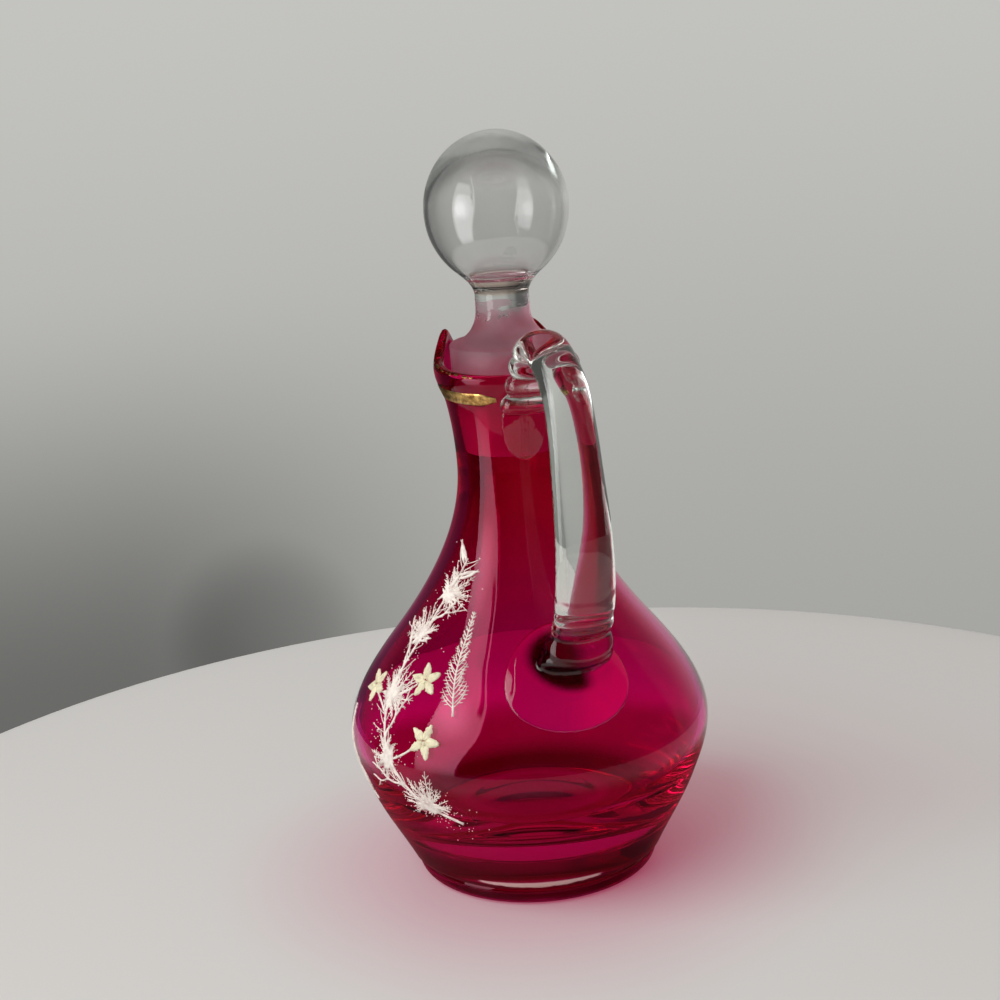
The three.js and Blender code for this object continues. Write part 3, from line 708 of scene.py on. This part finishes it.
RIB_WIDTH = 0.7
PETAL_LENGTH = 5.0
PETAL_WIDTH = 3.0
LEAF_WIDTH = 2.4
FROND_LENGTH = 6.0
HAIRS = 46
PLUMES = 21
FRONDS = 22
SPECKS = 420
STIPPLE_STEPS = 90


def leaf(brush, place, heading, length):
    """Two long dabs beside a gap for the midrib, with a fine tip."""
    for side in (-1, 1):
        start = step_on(place, heading + side * pi / 2, LEAF_WIDTH * 0.16)
        brush.stroke(start, heading + side * 0.16, length, LEAF_WIDTH * 0.46, 0.32, bend=-side * 0.5, fade=0.12)


def plume(brush, place, heading, length, width, bend):
    """A stroke with fine barbs along both its sides."""
    here, steps = place, 6
    for i in range(steps):
        turn = heading + bend * i / steps
        brush.stroke(here, turn, length / steps * 1.15, width * (1 - 0.7 * i / steps), 0.22, fade=0.75, steps=3)
        for side in (-1, 1):
            if brush.random.random() < 0.75:
                barb = length * (0.3 - 0.03 * i) * brush.random.uniform(0.5, 1.1)
                aside = turn + side * brush.random.uniform(0.45, 0.95)
                brush.stroke(here, aside, barb, 0.26, 0.16, fade=0.45, steps=4)
        here = step_on(here, turn, length / steps)


def tuft(brush, place, heading, reach):
    """A feathery tuft: plumes fanned from one place, over short broad dabs at its heart."""
    for i in range(PLUMES):
        turn = (i / (PLUMES - 1) - 0.5) * 3.1 + brush.random.normal(0, 0.12)
        length = reach * brush.random.uniform(0.7, 1.05) * (0.6 + 0.4 * cos(turn))
        start = step_on(place, brush.random.uniform(0, TURN), reach * 0.1 * brush.random.random())
        plume(brush, start, heading + turn, length, 0.5, brush.random.uniform(0.1, 0.6) * turn)
    for _ in range(PLUMES * 2):
        start = step_on(place, brush.random.uniform(0, TURN), reach * 0.2 * brush.random.random())
        turn = brush.random.normal(0, 1.1)
        brush.stroke(start, heading + turn, reach * brush.random.uniform(0.15, 0.4), 0.75, 0.32, bend=0.4 * turn)


def twig(brush, place, heading, length, width=TWIG_WIDTH, forks=2):
    """A bare wavy twig that forks and thins."""
    bend = brush.random.choice([-1, 1]) * brush.random.uniform(0.25, 0.5)
    middle = brush.stroke(place, heading, length * 0.55, width, 0.32, bend=bend, fade=0.85)
    tip = brush.stroke(middle, heading + bend, length * 0.55, width * 0.85, 0.32, bend=-1.3 * bend, fade=0.7)
    for side in (-1, 1) if forks else ():
        turn = side * brush.random.uniform(0.2, 0.45)
        twig(brush, tip, heading + turn, length * brush.random.uniform(0.6, 0.85), width * 0.66, forks - 1)


def make_spray():
    brush = Brush(3)
    stem = brush.line(MAIN_STEM, STEM_WIDTH, 0.35, steps=90)

    def grow(draw, spots, lean):
        for share, side, length in spots:
            place, heading = spot_on(stem, share)
            draw(brush, place, heading + side * lean, length)

    grow(leaf, LEAVES, LEAF_ANGLE)
    for stop, share in BLOSSOM_SPOTS:
        place, _ = spot_on(stem, share)
        distance, heading = reach_to(place, place_at(*stop))
        brush.stroke(place, heading - 0.18, distance - PETAL_LENGTH * 0.6, 0.7, bend=0.36, fade=0.7, steps=14)
    for share in np.linspace(0.12, 0.98, HAIRS):
        place, heading = spot_on(stem, share)
        side = brush.random.choice([-1, 1])
        heading += side * brush.random.uniform(0.5, 1.1)
        length, bend = brush.random.uniform(2.5, 7.5), -side * brush.random.uniform(0.1, 0.7)
        tip = brush.stroke(place, heading, length, 0.28, 0.16, bend=bend, fade=0.5)
        if brush.random.random() < 0.5:
            brush.dot(tip, brush.random.uniform(0.35, 0.6), 0.2)
    grow(tuft, TUFTS, TUFT_ANGLE)
    grow(twig, TWIGS, TWIG_ANGLE)
    return brush.finish("enamel_spray_paint")


def make_blossom(index, stop):
    """Five petals with two veins each, round a ring of dabs."""
    brush = Brush(20 + index)
    middle = place_at(*stop)
    for i in range(5):
        heading = TURN * (i / 5 + index / 11)
        brush.stroke(step_on(middle, heading, 0.5), heading, PETAL_LENGTH, PETAL_WIDTH, 0.5, fade=0.25, steps=12,
                     shape=0.7)
        for lean in (-0.175, 0.175):
            brush.stroke(step_on(middle, heading, 1.2), heading + lean, PETAL_LENGTH * 0.6, 0.25, 0.62, fade=0.2)
    for i in range(9):
        brush.dot(step_on(middle, TURN * i / 9, 0.95), 0.55, 0.75)
    brush.dot(middle, 1.3, 0.85)
    return brush.finish(f"enamel_blossom_{index + 1}_paint")


def make_fern(name, stops, seed):
    """Fronds on both sides of a rib, each with three fine leaflets."""
    brush = Brush(seed)
    rib = brush.line(stops, RIB_WIDTH, 0.28, steps=60)
    for share in np.linspace(0.08, 0.97, FRONDS):
        for side in (-1, 1):
            place, heading = spot_on(rib, share)
            heading += side * brush.random.uniform(0.75, 1.0)
            frond = FROND_LENGTH * (1.15 - share) * brush.random.uniform(0.85, 1.1)
            tip = brush.stroke(place, heading, frond, 0.34, 0.2, bend=-side * 0.5, fade=0.4)
            for j in range(3):
                back = step_on(tip, heading + pi - side * 0.4, frond * (0.2 + 0.22 * j))
                brush.stroke(back, heading + side * 0.6, frond * 0.22, 0.24, 0.16, fade=0.3, steps=4)
    return brush.finish(name)


def make_stipple():
    """Fine dabs scattered along the spray, closest near its foot."""
    brush = Brush(8)
    stem = curve_on(MAIN_STEM, STIPPLE_STEPS + 1)
    for _ in range(SPECKS):
        share = brush.random.beta(1.1, 1.5)
        distance = abs(brush.random.normal(0, 1)) * (5.5 - 2.5 * share) + 1
        spot = step_on(stem[round(share * STIPPLE_STEPS)], brush.random.uniform(0, TURN), distance)
        brush.dot(spot, brush.random.uniform(0.18, 0.42), 0.12)
    return brush.finish("enamel_stipple")


# The gilding. The band and the lip's line end at these angles from the handle, and the flakes are set in the glass.
BAND_END = radians(30.5)
BAND_WIDTH = 4.5
BAND_DROP = 1.7
LIP_LINE_END = radians(36)
GILT_SINK = 0.08
GILT_RISE = 0.06


def make_neck_band():
    """A band with ragged edges that tapers at its ends beside the handle."""
    angle = np.linspace(BAND_END, TURN - BAND_END, 400)
    random = np.random.default_rng(5)
    ragged = np.convolve(random.normal(0, 1, len(angle) + 8), np.ones(9) / 9, "valid")
    t = (angle - BAND_END) / (TURN - 2 * BAND_END)
    taper = np.clip(0.35 + 14 * np.minimum(t, 1 - t), 0, 1)
    places = stacked(angle, BAND_TOP - BAND_DROP + 0.12 * np.sin(3 * angle + 1))
    return new_object("neck_gilding", *ribbon_skin(places, BAND_WIDTH * taper + 0.3 * ragged, 0.1, shape=0.15))


def lip_flake(angles, start, end):
    """A flake of gilt on the lip's round, from start to end in degrees, narrow at both its tips."""
    round_at = (LIP_RING[1] - LIP_ROUND, LIP_RING[0])
    under, over = LIP_ROUND - GILT_SINK, LIP_ROUND + GILT_RISE
    middle, rings = (start + end) / 2, []
    for angle, narrow in zip(angles, np.sin(pi * np.linspace(0, 1, len(angles))) ** 0.4):
        spread = (end - start) * narrow / 2 + 1
        radius, height = np.vstack([arc(*round_at, under, under, middle - spread, middle + spread, 4),
                                    arc(*round_at, over, over, middle + spread, middle - spread, 4)]).T
        rings.append(stacked(radius * cos(angle), radius * sin(angle), height))
    return ring_skin(hand_blown(mouth_points(np.array(rings))))


def make_lip_line():
    """What is left of the gilt line: ragged flakes along the lip's outer edge."""
    random = np.random.default_rng(12)
    skins, angle = [], LIP_LINE_END
    while angle < TURN - LIP_LINE_END:
        sweep = random.uniform(0.03, 0.16)
        if random.random() < 0.62:
            start = random.uniform(30, 44)
            skins.append(lip_flake(np.linspace(angle, angle + sweep, 10), start, start + random.uniform(8, 26)))
        angle += sweep + random.uniform(0.01, 0.08)
    return new_object("lip_gilding", *join_skins(skins))


GLASS_IOR = 1.5


def metres(*millimetres):
    return [length * MM for length in millimetres]


class Graph:
    """A tree of shader nodes. Inputs are told by name or number, and take a value or another node's output."""

    def __init__(self, tree):
        self.nodes, self.links = tree.nodes, tree.links
        self.nodes.clear()

    def add(self, kind, inputs=(), **options):
        node = self.nodes.new("ShaderNode" + kind)
        for option, value in options.items():
            setattr(node, option, value)
        for name, value in dict(inputs).items():
            socket = node.inputs[name]
            if isinstance(value, bpy.types.NodeSocket):
                self.links.new(value, socket)
            else:
                socket.default_value = (*value, 1) if socket.type == "RGBA" else value
        return node

    def math(self, operation, *values):
        return self.add("Math", enumerate(values), operation=operation).outputs["Value"]

    def product(self, first, *others):
        for other in others:
            first = self.math("MULTIPLY", first, other)
        return first

    def rest(self, share):
        """What a share leaves of the whole."""
        return self.math("SUBTRACT", 1.0, share)

    def mapped(self, value, low, high, to_low, to_high, kind="SMOOTHSTEP"):
        """A value carried from one range to another, and held at its ends."""
        inputs = {"Value": value, "From Min": low, "From Max": high, "To Min": to_low, "To Max": to_high}
        return self.add("MapRange", inputs, interpolation_type=kind).outputs["Result"]

    def mixed(self, factor, first, second):
        """A colour that passes from the first to the second."""
        return self.add("Mix", {"Factor": factor, "A": first, "B": second}, data_type="RGBA").outputs["Result"]

    def ramp(self, value, stops):
        """A colour by stops of (value, colour)."""
        node = self.add("ValToRGB", {"Fac": value})
        elements = node.color_ramp.elements
        while len(elements) < len(stops):
            elements.new(1.0)
        for element, (position, colour) in zip(elements, stops):
            element.position, element.color = position, (*colour, 1)
        return node.outputs["Color"]

    def attribute(self, name):
        return self.add("Attribute", attribute_name=name).outputs["Fac"]

    def place(self):
        return self.add("TexCoord").outputs["Object"]

    def split(self, vector):
        return self.add("SeparateXYZ", {"Vector": vector}).outputs

    def facing(self, direction, towards_what):
        """How nearly a ray's direction points one way, as a cosine."""
        return self.add("VectorMath", {0: direction, 1: towards_what}, operation="DOT_PRODUCT").outputs["Value"]

    def noise(self, scale, detail, roughness=0.5):
        inputs = {"Vector": self.place(), "Scale": scale, "Detail": detail, "Roughness": roughness}
        return self.add("TexNoise", inputs).outputs["Fac"]

    def bump(self, scale, strength, distance, detail=2.0):
        inputs = {"Strength": strength, "Distance": distance, "Height": self.noise(scale, detail)}
        return self.add("Bump", inputs).outputs["Normal"]

    def surface(self, inputs):
        shader = self.add("BsdfPrincipled", inputs)
        self.add("OutputMaterial", {"Surface": shader.outputs["BSDF"]})

    def glass(self, inputs, shadow_tint, absorption, density):
        """Polished glass. Rays towards the lamps pass straight through, tinted, so that shadows stay clean."""
        shader = self.add("BsdfPrincipled", {"Roughness": 0, "IOR": GLASS_IOR, "Transmission Weight": 1, **inputs})
        path = self.add("LightPath").outputs
        straight = self.math("MAXIMUM", path["Is Shadow Ray"], path["Is Diffuse Ray"])
        clear = self.add("BsdfTransparent", {"Color": shadow_tint})
        both = self.add("MixShader", {0: straight, 1: shader.outputs["BSDF"], 2: clear.outputs["BSDF"]})
        volume = self.add("VolumeAbsorption", {"Color": absorption, "Density": density})
        self.add("OutputMaterial", {"Surface": both.outputs["Shader"], "Volume": volume.outputs["Volume"]})

    def fused_ior(self):
        """Where glass is fused to other glass, its faces neither bend nor mirror light."""
        return self.mapped(self.attribute("fused"), 0.4, 0.6, GLASS_IOR, 1.0, "LINEAR")


def new_material(name):
    material = bpy.data.materials.new(name)
    material.use_nodes = True
    return material, Graph(material.node_tree)


# Heights in millimetres up to the ramp's top, with the ruby's colour there.
RUBY_TOP = 125.0
RUBY_COLOURS = [
    (0, (0.78, 0.01, 0.43)),
    (3, (0.72, 0.01, 0.36)),
    (5, (0.15, 0.003, 0.016)),
    (13, (0.15, 0.003, 0.016)),
    (20, (0.66, 0.02, 0.28)),
    (28, (0.80, 0.03, 0.38)),
    (70, (0.76, 0.03, 0.31)),
    (120, (0.69, 0.012, 0.12)),
]
# The darker ruby of the painted shade in the floor's inner corner.
CORNER_SHADE_RUBY = (0.28, 0.001, 0.015)

# The painted glint at the foot's front, a pale dull patch in the ruby that stands in for a glint of light: its middle
# and half its sweep in radians, the heights where its soft edges begin and end, how much its lower edge climbs to
# both sides, how ragged that edge is, and how dull the patch is.
GLINT_MIDDLE = radians(-20)
GLINT_SWEEP = (0.44, 0.5)
GLINT_FOOT = (7.6, 8.2)
GLINT_TOP = (9.2, 9.8)
GLINT_CLIMB = 5.8
GLINT_RAGGED = 1.0
GLINT_DULL = 0.6
GLINT_COLOUR = (0.93, 0.88, 0.74)


def make_ruby_glass():
    """Ruby by height, with a painted glint at the foot's front and painted shade, darker ruby, in the floor's inner
    corner.
    """
    material, graph = new_material("ruby_glass")
    x, y, z = graph.split(graph.place())
    stops = [(height / RUBY_TOP, colour) for height, colour in RUBY_COLOURS]
    ruby = graph.ramp(graph.math("DIVIDE", z, RUBY_TOP * MM), stops)
    # Painted glint: a pale, dull patch at the foot's front that stands in for a glint of light.
    turn = graph.math("ADD", graph.math("ARCTAN2", y, x), -GLINT_MIDDLE)
    low = graph.math("SUBTRACT", z, graph.product(turn, turn, GLINT_CLIMB * MM))
    low = graph.math("ADD", low, graph.product(graph.noise(260, 3.0), GLINT_RAGGED * MM))
    painted_glint = graph.product(graph.mapped(low, *metres(*GLINT_FOOT), 0.0, 1.0),
                          graph.mapped(z, *metres(*GLINT_TOP), 1.0, 0.0),
                          graph.mapped(graph.math("ABSOLUTE", turn), *GLINT_SWEEP, 1.0, 0.0))
    # The ruby with the painted glint mixed in.
    ruby_with_glint = graph.mixed(painted_glint, ruby, GLINT_COLOUR)
    inputs = {
        # Painted shade: darker ruby in the floor's inner corner.
        "Base Color": graph.mixed(graph.attribute("corner_shade"), ruby_with_glint, CORNER_SHADE_RUBY),
        "IOR": graph.fused_ior(),
        "Transmission Weight": graph.rest(graph.product(painted_glint, GLINT_DULL)),
        "Normal": graph.bump(28, 0.022, 0.004),
        "Specular Tint": (0.9, 0.4, 0.55),
    }
    graph.glass(inputs, shadow_tint=(0.87, 0.6, 0.69), absorption=(0.985, 0.6, 0.87), density=100)
    return material


def make_clear_glass():
    """Clear glass, with painted shade, nearly black, in the fold round the rod's foot."""
    material, graph = new_material("clear_glass")
    inputs = {
        # Painted shade: the fold round the rod's foot is nearly black.
        "Base Color": graph.mixed(graph.attribute("fold_shade"), (1, 1, 1), (0.06, 0.002, 0.01)),
        "IOR": graph.fused_ior(),
        "Normal": graph.bump(45, 0.06, 0.004),
    }
    graph.glass(inputs, shadow_tint=(0.93, 0.93, 0.93), absorption=(0.55, 0.75, 0.55), density=12)
    return material


# The stopper's glass. The frost ends at a ragged border. Its painted pink, which stands in for the ruby light that
# the neck throws into the frost, and its milkiness change with height, where the plug comes out of the ruby neck. The
# waist has a painted shade, a little darker, where the ball meets it.
FROST_RAGGED = 20.0
FROST_BORDER = (WAIST_FOOT - 0.3, WAIST_FOOT + 0.1)
PAINTED_PINK_HEIGHTS = (137.0, 166.0)
MILKY_HEIGHTS = (146.0, 156.0)
# Where the painted shade round the waist begins and ends.
WAIST_SHADE_FOOT = (WAIST_TOP - 4.8, WAIST_TOP - 3.6)
WAIST_SHADE_TOP = (WAIST_TOP + 0.2, WAIST_TOP + 1.2)


def make_stopper_glass():
    """Clear glass, ground to a frost from the plug's foot up to an uneven border at the waist."""
    material, graph = new_material("stopper_glass")
    z = graph.split(graph.place())["Z"]
    border = graph.math("MULTIPLY_ADD", graph.noise(230, 4.0), -FROST_RAGGED * MM, z)
    frost_ends = metres(*(height - FROST_RAGGED / 2 for height in FROST_BORDER))
    frost = graph.mapped(border, *frost_ends, 1.0, 0.0, "LINEAR")
    # Painted pink in the frost, for the ruby light that the neck throws into it.
    pink = graph.product(frost, graph.mapped(z, *metres(*PAINTED_PINK_HEIGHTS), 0.25, 1.0))
    milky = graph.product(frost, graph.mapped(z, *metres(*MILKY_HEIGHTS), 0.22, 0.0))
    # Painted shade round the waist, where the ball meets it.
    join = graph.product(graph.mapped(z, *metres(*WAIST_SHADE_FOOT), 0.0, 1.0),
                         graph.mapped(z, *metres(*WAIST_SHADE_TOP), 1.0, 0.0))
    inputs = {
        "Base Color": graph.mixed(join, graph.mixed(pink, (0.9, 0.9, 0.9), (0.86, 0.5, 0.6)), (0.62, 0.52, 0.46)),
        "Roughness": graph.product(frost, 0.6),
        "Transmission Weight": graph.rest(milky),
        "Normal": graph.bump(45, 0.05, 0.004),
    }
    graph.glass(inputs, shadow_tint=(0.93, 0.93, 0.93), absorption=(0.6, 0.75, 0.65), density=10)
    return material


def make_paint(name, patches, stops, gloss, bump, metallic=0):
    """A thin layer whose colour and gloss change in patches, as it wears away or is thinly laid."""
    material, graph = new_material(name)
    cover = graph.noise(*patches)
    graph.surface({
        "Base Color": graph.ramp(cover, stops),
        "Roughness": graph.mapped(cover, 0.0, 1.0, *gloss, "LINEAR"),
        "Metallic": metallic,
        "Normal": graph.bump(*bump),
    })
    return material


def make_gilding():
    stops = [(0.35, (0.24, 0.11, 0.03)), (0.6, (0.86, 0.56, 0.19))]
    return make_paint("gilding", (520, 6.0, 0.65), stops, (0.5, 0.22), (900, 0.3, 0.0002, 4.0), metallic=1)


def make_enamel(name, thin, thick):
    stops = [(0.3, thin), (0.55, thick)]
    return make_paint(name, (420, 5.0, 0.6), stops, (0.7, 0.4), (1500, 0.35, 0.0002, 4.0))


def dress(piece, material, body, slot, *nodes):
    piece.data.materials.clear()
    piece.data.materials.append(material)
    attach(piece, body)
    if nodes:
        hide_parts(*nodes)


# The photograph's camera, found from the object's own outlines.
CAMERA_AZIMUTH = 70.0
CAMERA_DISTANCE = 594.8
CAMERA_HEIGHT = 280.4
CAMERA_PITCH = 15.27
CAMERA_YAW = -0.45
CAMERA_ROLL = -3.89
SENSOR_WIDTH = 36.0
FOCAL_PIXELS = 2016.3
FRAME_PIXELS = 1000.0


def towards(azimuth, elevation=0.0):
    """A direction from the object, with azimuth 0 towards -Y and 90 towards +X."""
    a, e = radians(azimuth), radians(elevation)
    return Vector((sin(a) * cos(e), -cos(a) * cos(e), sin(e)))


def make_camera():
    data = bpy.data.cameras.new("photo_camera")
    data.sensor_width = SENSOR_WIDTH
    data.lens = SENSOR_WIDTH * FOCAL_PIXELS / FRAME_PIXELS
    data.clip_start, data.clip_end = 0.01, 20
    camera = bpy.data.objects.new("photo_camera", data)
    bpy.context.scene.collection.objects.link(camera)
    forward = -towards(CAMERA_AZIMUTH - CAMERA_YAW, CAMERA_PITCH)
    level_right = forward.cross(Vector((0, 0, 1))).normalized()
    level_up = level_right.cross(forward)
    roll = radians(CAMERA_ROLL)
    right = level_right * cos(roll) + level_up * sin(roll)
    up = level_up * cos(roll) - level_right * sin(roll)
    place = towards(CAMERA_AZIMUTH) * CAMERA_DISTANCE + Vector((0, 0, CAMERA_HEIGHT))
    axes = Matrix((right, up, -forward)).transposed().to_4x4()
    camera.matrix_world = Matrix.Translation(place * MM) @ axes
    bpy.context.scene.camera = camera


TABLE_RADIUS = 280.0
TABLE_CENTRE = Vector((30.0, 0.0, 0.0)) * MM
TABLE_THICKNESS = 20.0
TABLE_GAP = 0.2
TABLE_COLOUR = (0.72, 0.70, 0.685)
# Painted light round the object: a pool of pink, a dark ruby shade that only mirrored rays see, and a pink glow.
PAINTED_POOL_PINK = (0.72, 0.55, 0.585)
MIRRORED_PAINTED_SHADE = (0.22, 0.05, 0.07)
GLOW_COLOUR = (1.0, 0.3, 0.5)
GLOW_STRENGTH = 0.3

# Distances from the object's axis between which each of these fades out.
PAINTED_POOL_ENDS = (40.0, 108.0)
MIRRORED_SHADE_ENDS = (90.0, 130.0)
GLOW_ENDS = (50.0, 200.0)


def make_table():
    """A round pale table top with a softened edge. Round the object it has a painted pool of pink for the light that
    its glass throws, a painted glow for rays through the glass, and painted shade, dark ruby, for rays mirrored in
    it."""
    soft = TABLE_THICKNESS / 2
    flat = TABLE_RADIUS - soft
    top = stacked(np.linspace(0, flat, 20), 0)
    edge = arc(flat, -soft, soft, soft, 90, -90, 16)[1:]
    under = stacked(np.linspace(flat, 0, 6)[1:], -TABLE_THICKNESS)
    rings = turned(np.vstack([top, edge, under])[::-1], TABLE_SIDES)
    table = new_object("table", *turned_skin(rings))
    table.location = TABLE_CENTRE - Vector((0, 0, TABLE_GAP * MM))
    material, graph = new_material("table_white")
    away = graph.add("VectorMath", {0: graph.place(), 1: -TABLE_CENTRE}, operation="DISTANCE").outputs["Value"]
    path = graph.add("LightPath").outputs
    lit = graph.mixed(graph.mapped(away, *metres(*PAINTED_POOL_ENDS), 0.0, 1.0), PAINTED_POOL_PINK, TABLE_COLOUR)
    mirrored = graph.product(path["Is Glossy Ray"], graph.mapped(away, *metres(*MIRRORED_SHADE_ENDS), 1.0, 0.0))
    glow = graph.mapped(away, *metres(*GLOW_ENDS), GLOW_STRENGTH, 0.0)
    graph.surface({
        "Base Color": graph.mixed(mirrored, lit, MIRRORED_PAINTED_SHADE),
        "Roughness": 0.5,
        "Emission Color": GLOW_COLOUR,
        "Emission Strength": graph.product(glow, path["Is Transmission Ray"]),
    })
    table.data.materials.append(material)


def make_world():
    """A room with pale cloth behind the object and dark in front of it. The cloth darkens to the left, in its low
    left corner and along one fold, and mirrored rays see less of it. Each range that is mapped is of cosines towards
    a direction, and each value is a share of the light."""
    world = bpy.data.worlds.new("room")
    world.use_nodes = True
    bpy.context.scene.world = world
    graph = Graph(world.node_tree)
    math, mapped, product = graph.math, graph.mapped, graph.product
    direction = graph.add("TexCoord").outputs["Generated"]
    path = graph.add("LightPath").outputs
    height = graph.facing(direction, (0, 0, 1))
    leftward = graph.facing(direction, towards(CAMERA_AZIMUTH + 270))
    fold = graph.facing(direction, towards(CAMERA_AZIMUTH + 180 + 7.6, -18.6))
    shade = product(mapped(leftward, -0.02, 0.2, 0.0, 0.62), mapped(height, -0.14, -0.34, 0.0, 1.0))
    shade = math("ADD", shade, mapped(fold, 0.9985, 0.9999, 0.0, 0.16))
    shade = math("MAXIMUM", shade, mapped(leftward, 0.24, 0.42, 0.0, 0.6))
    cloth = product(mapped(height, -0.4, 0.05, 0.37, 0.56), graph.rest(shade))
    forward = graph.facing(direction, towards(CAMERA_AZIMUTH + 180))
    behind = math("ADD", mapped(forward, 0.2, 0.3, 0.07, 0.35), mapped(forward, 0.4, 0.85, 0.0, 0.6))
    behind = product(behind, mapped(leftward, 0.05, 0.3, 1.0, 0.25))
    seen = math("MAXIMUM", product(path["Is Transmission Ray"], 0.6), path["Is Camera Ray"])
    ceiling = product(mapped(height, 0.0, 0.3, 1.0, 0.65), mapped(height, 0.6, 0.75, 1.0, 0.35))
    ceiling = math("MAXIMUM", ceiling, path["Is Camera Ray"])
    room = product(ceiling, math("MAXIMUM", behind, seen), cloth)
    spare = math("SUBTRACT", mapped(height, -0.2, 0.9, 0.26, 0.45), room)
    strength = math("ADD", room, product(spare, path["Is Diffuse Ray"]))
    background = graph.add("Background", {"Color": (1.0, 0.995, 0.95), "Strength": strength})
    graph.add("OutputWorld", {"Surface": background.outputs["Background"]})


def lamp_facing(name, azimuth, height, distance, width, tall, radiance):
    """An area lamp turned level towards the object's axis. The azimuth counts from the camera's."""
    data = bpy.data.lights.new(name, "AREA")
    data.shape = "RECTANGLE"
    data.size, data.size_y = metres(width, tall)
    data.energy = radiance * data.size * data.size_y * 4
    lamp = bpy.data.objects.new(name, data)
    bpy.context.scene.collection.objects.link(lamp)
    out = towards(CAMERA_AZIMUTH + azimuth)
    lamp.location = (out * distance + Vector((0, 0, height))) * MM
    lamp.rotation_euler = out.to_track_quat("Z", "Y").to_euler()
    lamp.visible_camera = False
    return lamp


WINDOW_AZIMUTH = -58
WINDOW_DISTANCE = 280
WINDOW_LEFT, WINDOW_RIGHT = -60, 140
WINDOW_LOW, WINDOW_HIGH = -60, 540
WINDOW_LIGHT = 2.4
WINDOW_GLOW = 5.0
BRIGHTEST = (0, 240)
BRIGHT_SIZE = (90, 80)


def make_window():
    """The window beside the camera: a pane with a bowed side, brightest at its middle, and a strip beside its top.
    Its shape is drawn in millimetres across and up, and inward is how far a point lies inside the bowed side."""
    width, tall = WINDOW_RIGHT - WINDOW_LEFT, WINDOW_HIGH - WINDOW_LOW
    window = lamp_facing("window", WINDOW_AZIMUTH, WINDOW_LOW + tall / 2, WINDOW_DISTANCE, width, tall, 1)
    window.location += towards(CAMERA_AZIMUTH + WINDOW_AZIMUTH + 90) * (WINDOW_LEFT + width / 2) * MM
    window.data.use_nodes = True
    window.visible_diffuse = False
    graph = Graph(window.data.node_tree)
    math, mapped, product = graph.math, graph.mapped, graph.product
    across, up, _ = graph.split(graph.add("NewGeometry").outputs["Parametric"])
    x = math("ADD", product(across, width), WINDOW_LEFT)
    z = math("ADD", product(up, tall), WINDOW_LOW)
    side = math("ADD", mapped(z, 0, 260, 70, 130), mapped(z, 320, 520, 0, -85))
    inward = math("SUBTRACT", side, x)
    pane = math("MAXIMUM", mapped(inward, 34, 42, 0, 1), mapped(z, 280, 310, 1, 0))
    strip = mapped(inward, 12, 17, 1, 0)
    shape = math("MAXIMUM", product(pane, mapped(z, 385, 410, 1, 0)), product(strip, mapped(z, 470, 520, 1, 0)))
    shape = product(mapped(inward, 0, 5, 0, 1), mapped(z, -60, 60, 0, 1), shape)
    off = [math("POWER", math("DIVIDE", math("SUBTRACT", place, middle), size), 2)
           for place, middle, size in zip((x, z), BRIGHTEST, BRIGHT_SIZE)]
    glow = mapped(math("SQRT", math("ADD", *off)), 0, 1.3, WINDOW_GLOW, WINDOW_LIGHT)
    emission = graph.add("Emission", {"Strength": product(shape, glow)})
    graph.add("OutputLight", {"Surface": emission.outputs["Emission"]})


def make_daylight():
    """Broad light from beside the camera, which no reflection shows."""
    daylight = lamp_facing("daylight", azimuth=-52, height=1000, distance=750, width=1200, tall=1100, radiance=3.1)
    daylight.visible_glossy = False
    daylight.visible_transmission = False


make_camera()
make_table()
make_world()
make_window()
make_daylight()

ruby_glass = make_ruby_glass()
clear_glass = make_clear_glass()
stopper_glass = make_stopper_glass()
gilding = make_gilding()
white_enamel = make_enamel("white_enamel", (0.62, 0.49, 0.46), (0.92, 0.85, 0.78))
cream_enamel = make_enamel("cream_enamel", (0.62, 0.52, 0.36), (0.84, 0.78, 0.56))

body, handle = make_body(), make_handle()
mark_body(body)
dress(body, ruby_glass, "jug", "ruby_glass", "body_shell")
dress(handle, clear_glass, "jug", "clear_glass", "handle")
dress(make_stopper(), stopper_glass, "stopper", "stopper_glass", "stopper")
dress(make_neck_band(), gilding, "jug", "gilding", "neck_gilt_band")
dress(make_lip_line(), gilding, "jug", "gilding", "lip_gilt_line")
dress(make_spray(), white_enamel, "jug", "white_enamel", "enamel_spray")
dress(make_stipple(), white_enamel, "jug", "white_enamel")
for number, (stop, _) in enumerate(BLOSSOM_SPOTS):
    dress(make_blossom(number, stop), cream_enamel, "jug", "cream_enamel", f"enamel_blossom_{number + 1}")
for name, stops, seed in [("upper", UPPER_FERN, 31), ("lower", LOWER_FERN, 32)]:
    fern = make_fern(f"enamel_fern_{name}_paint", stops, seed)
    dress(fern, white_enamel, "jug", "white_enamel", f"enamel_fern_{name}")
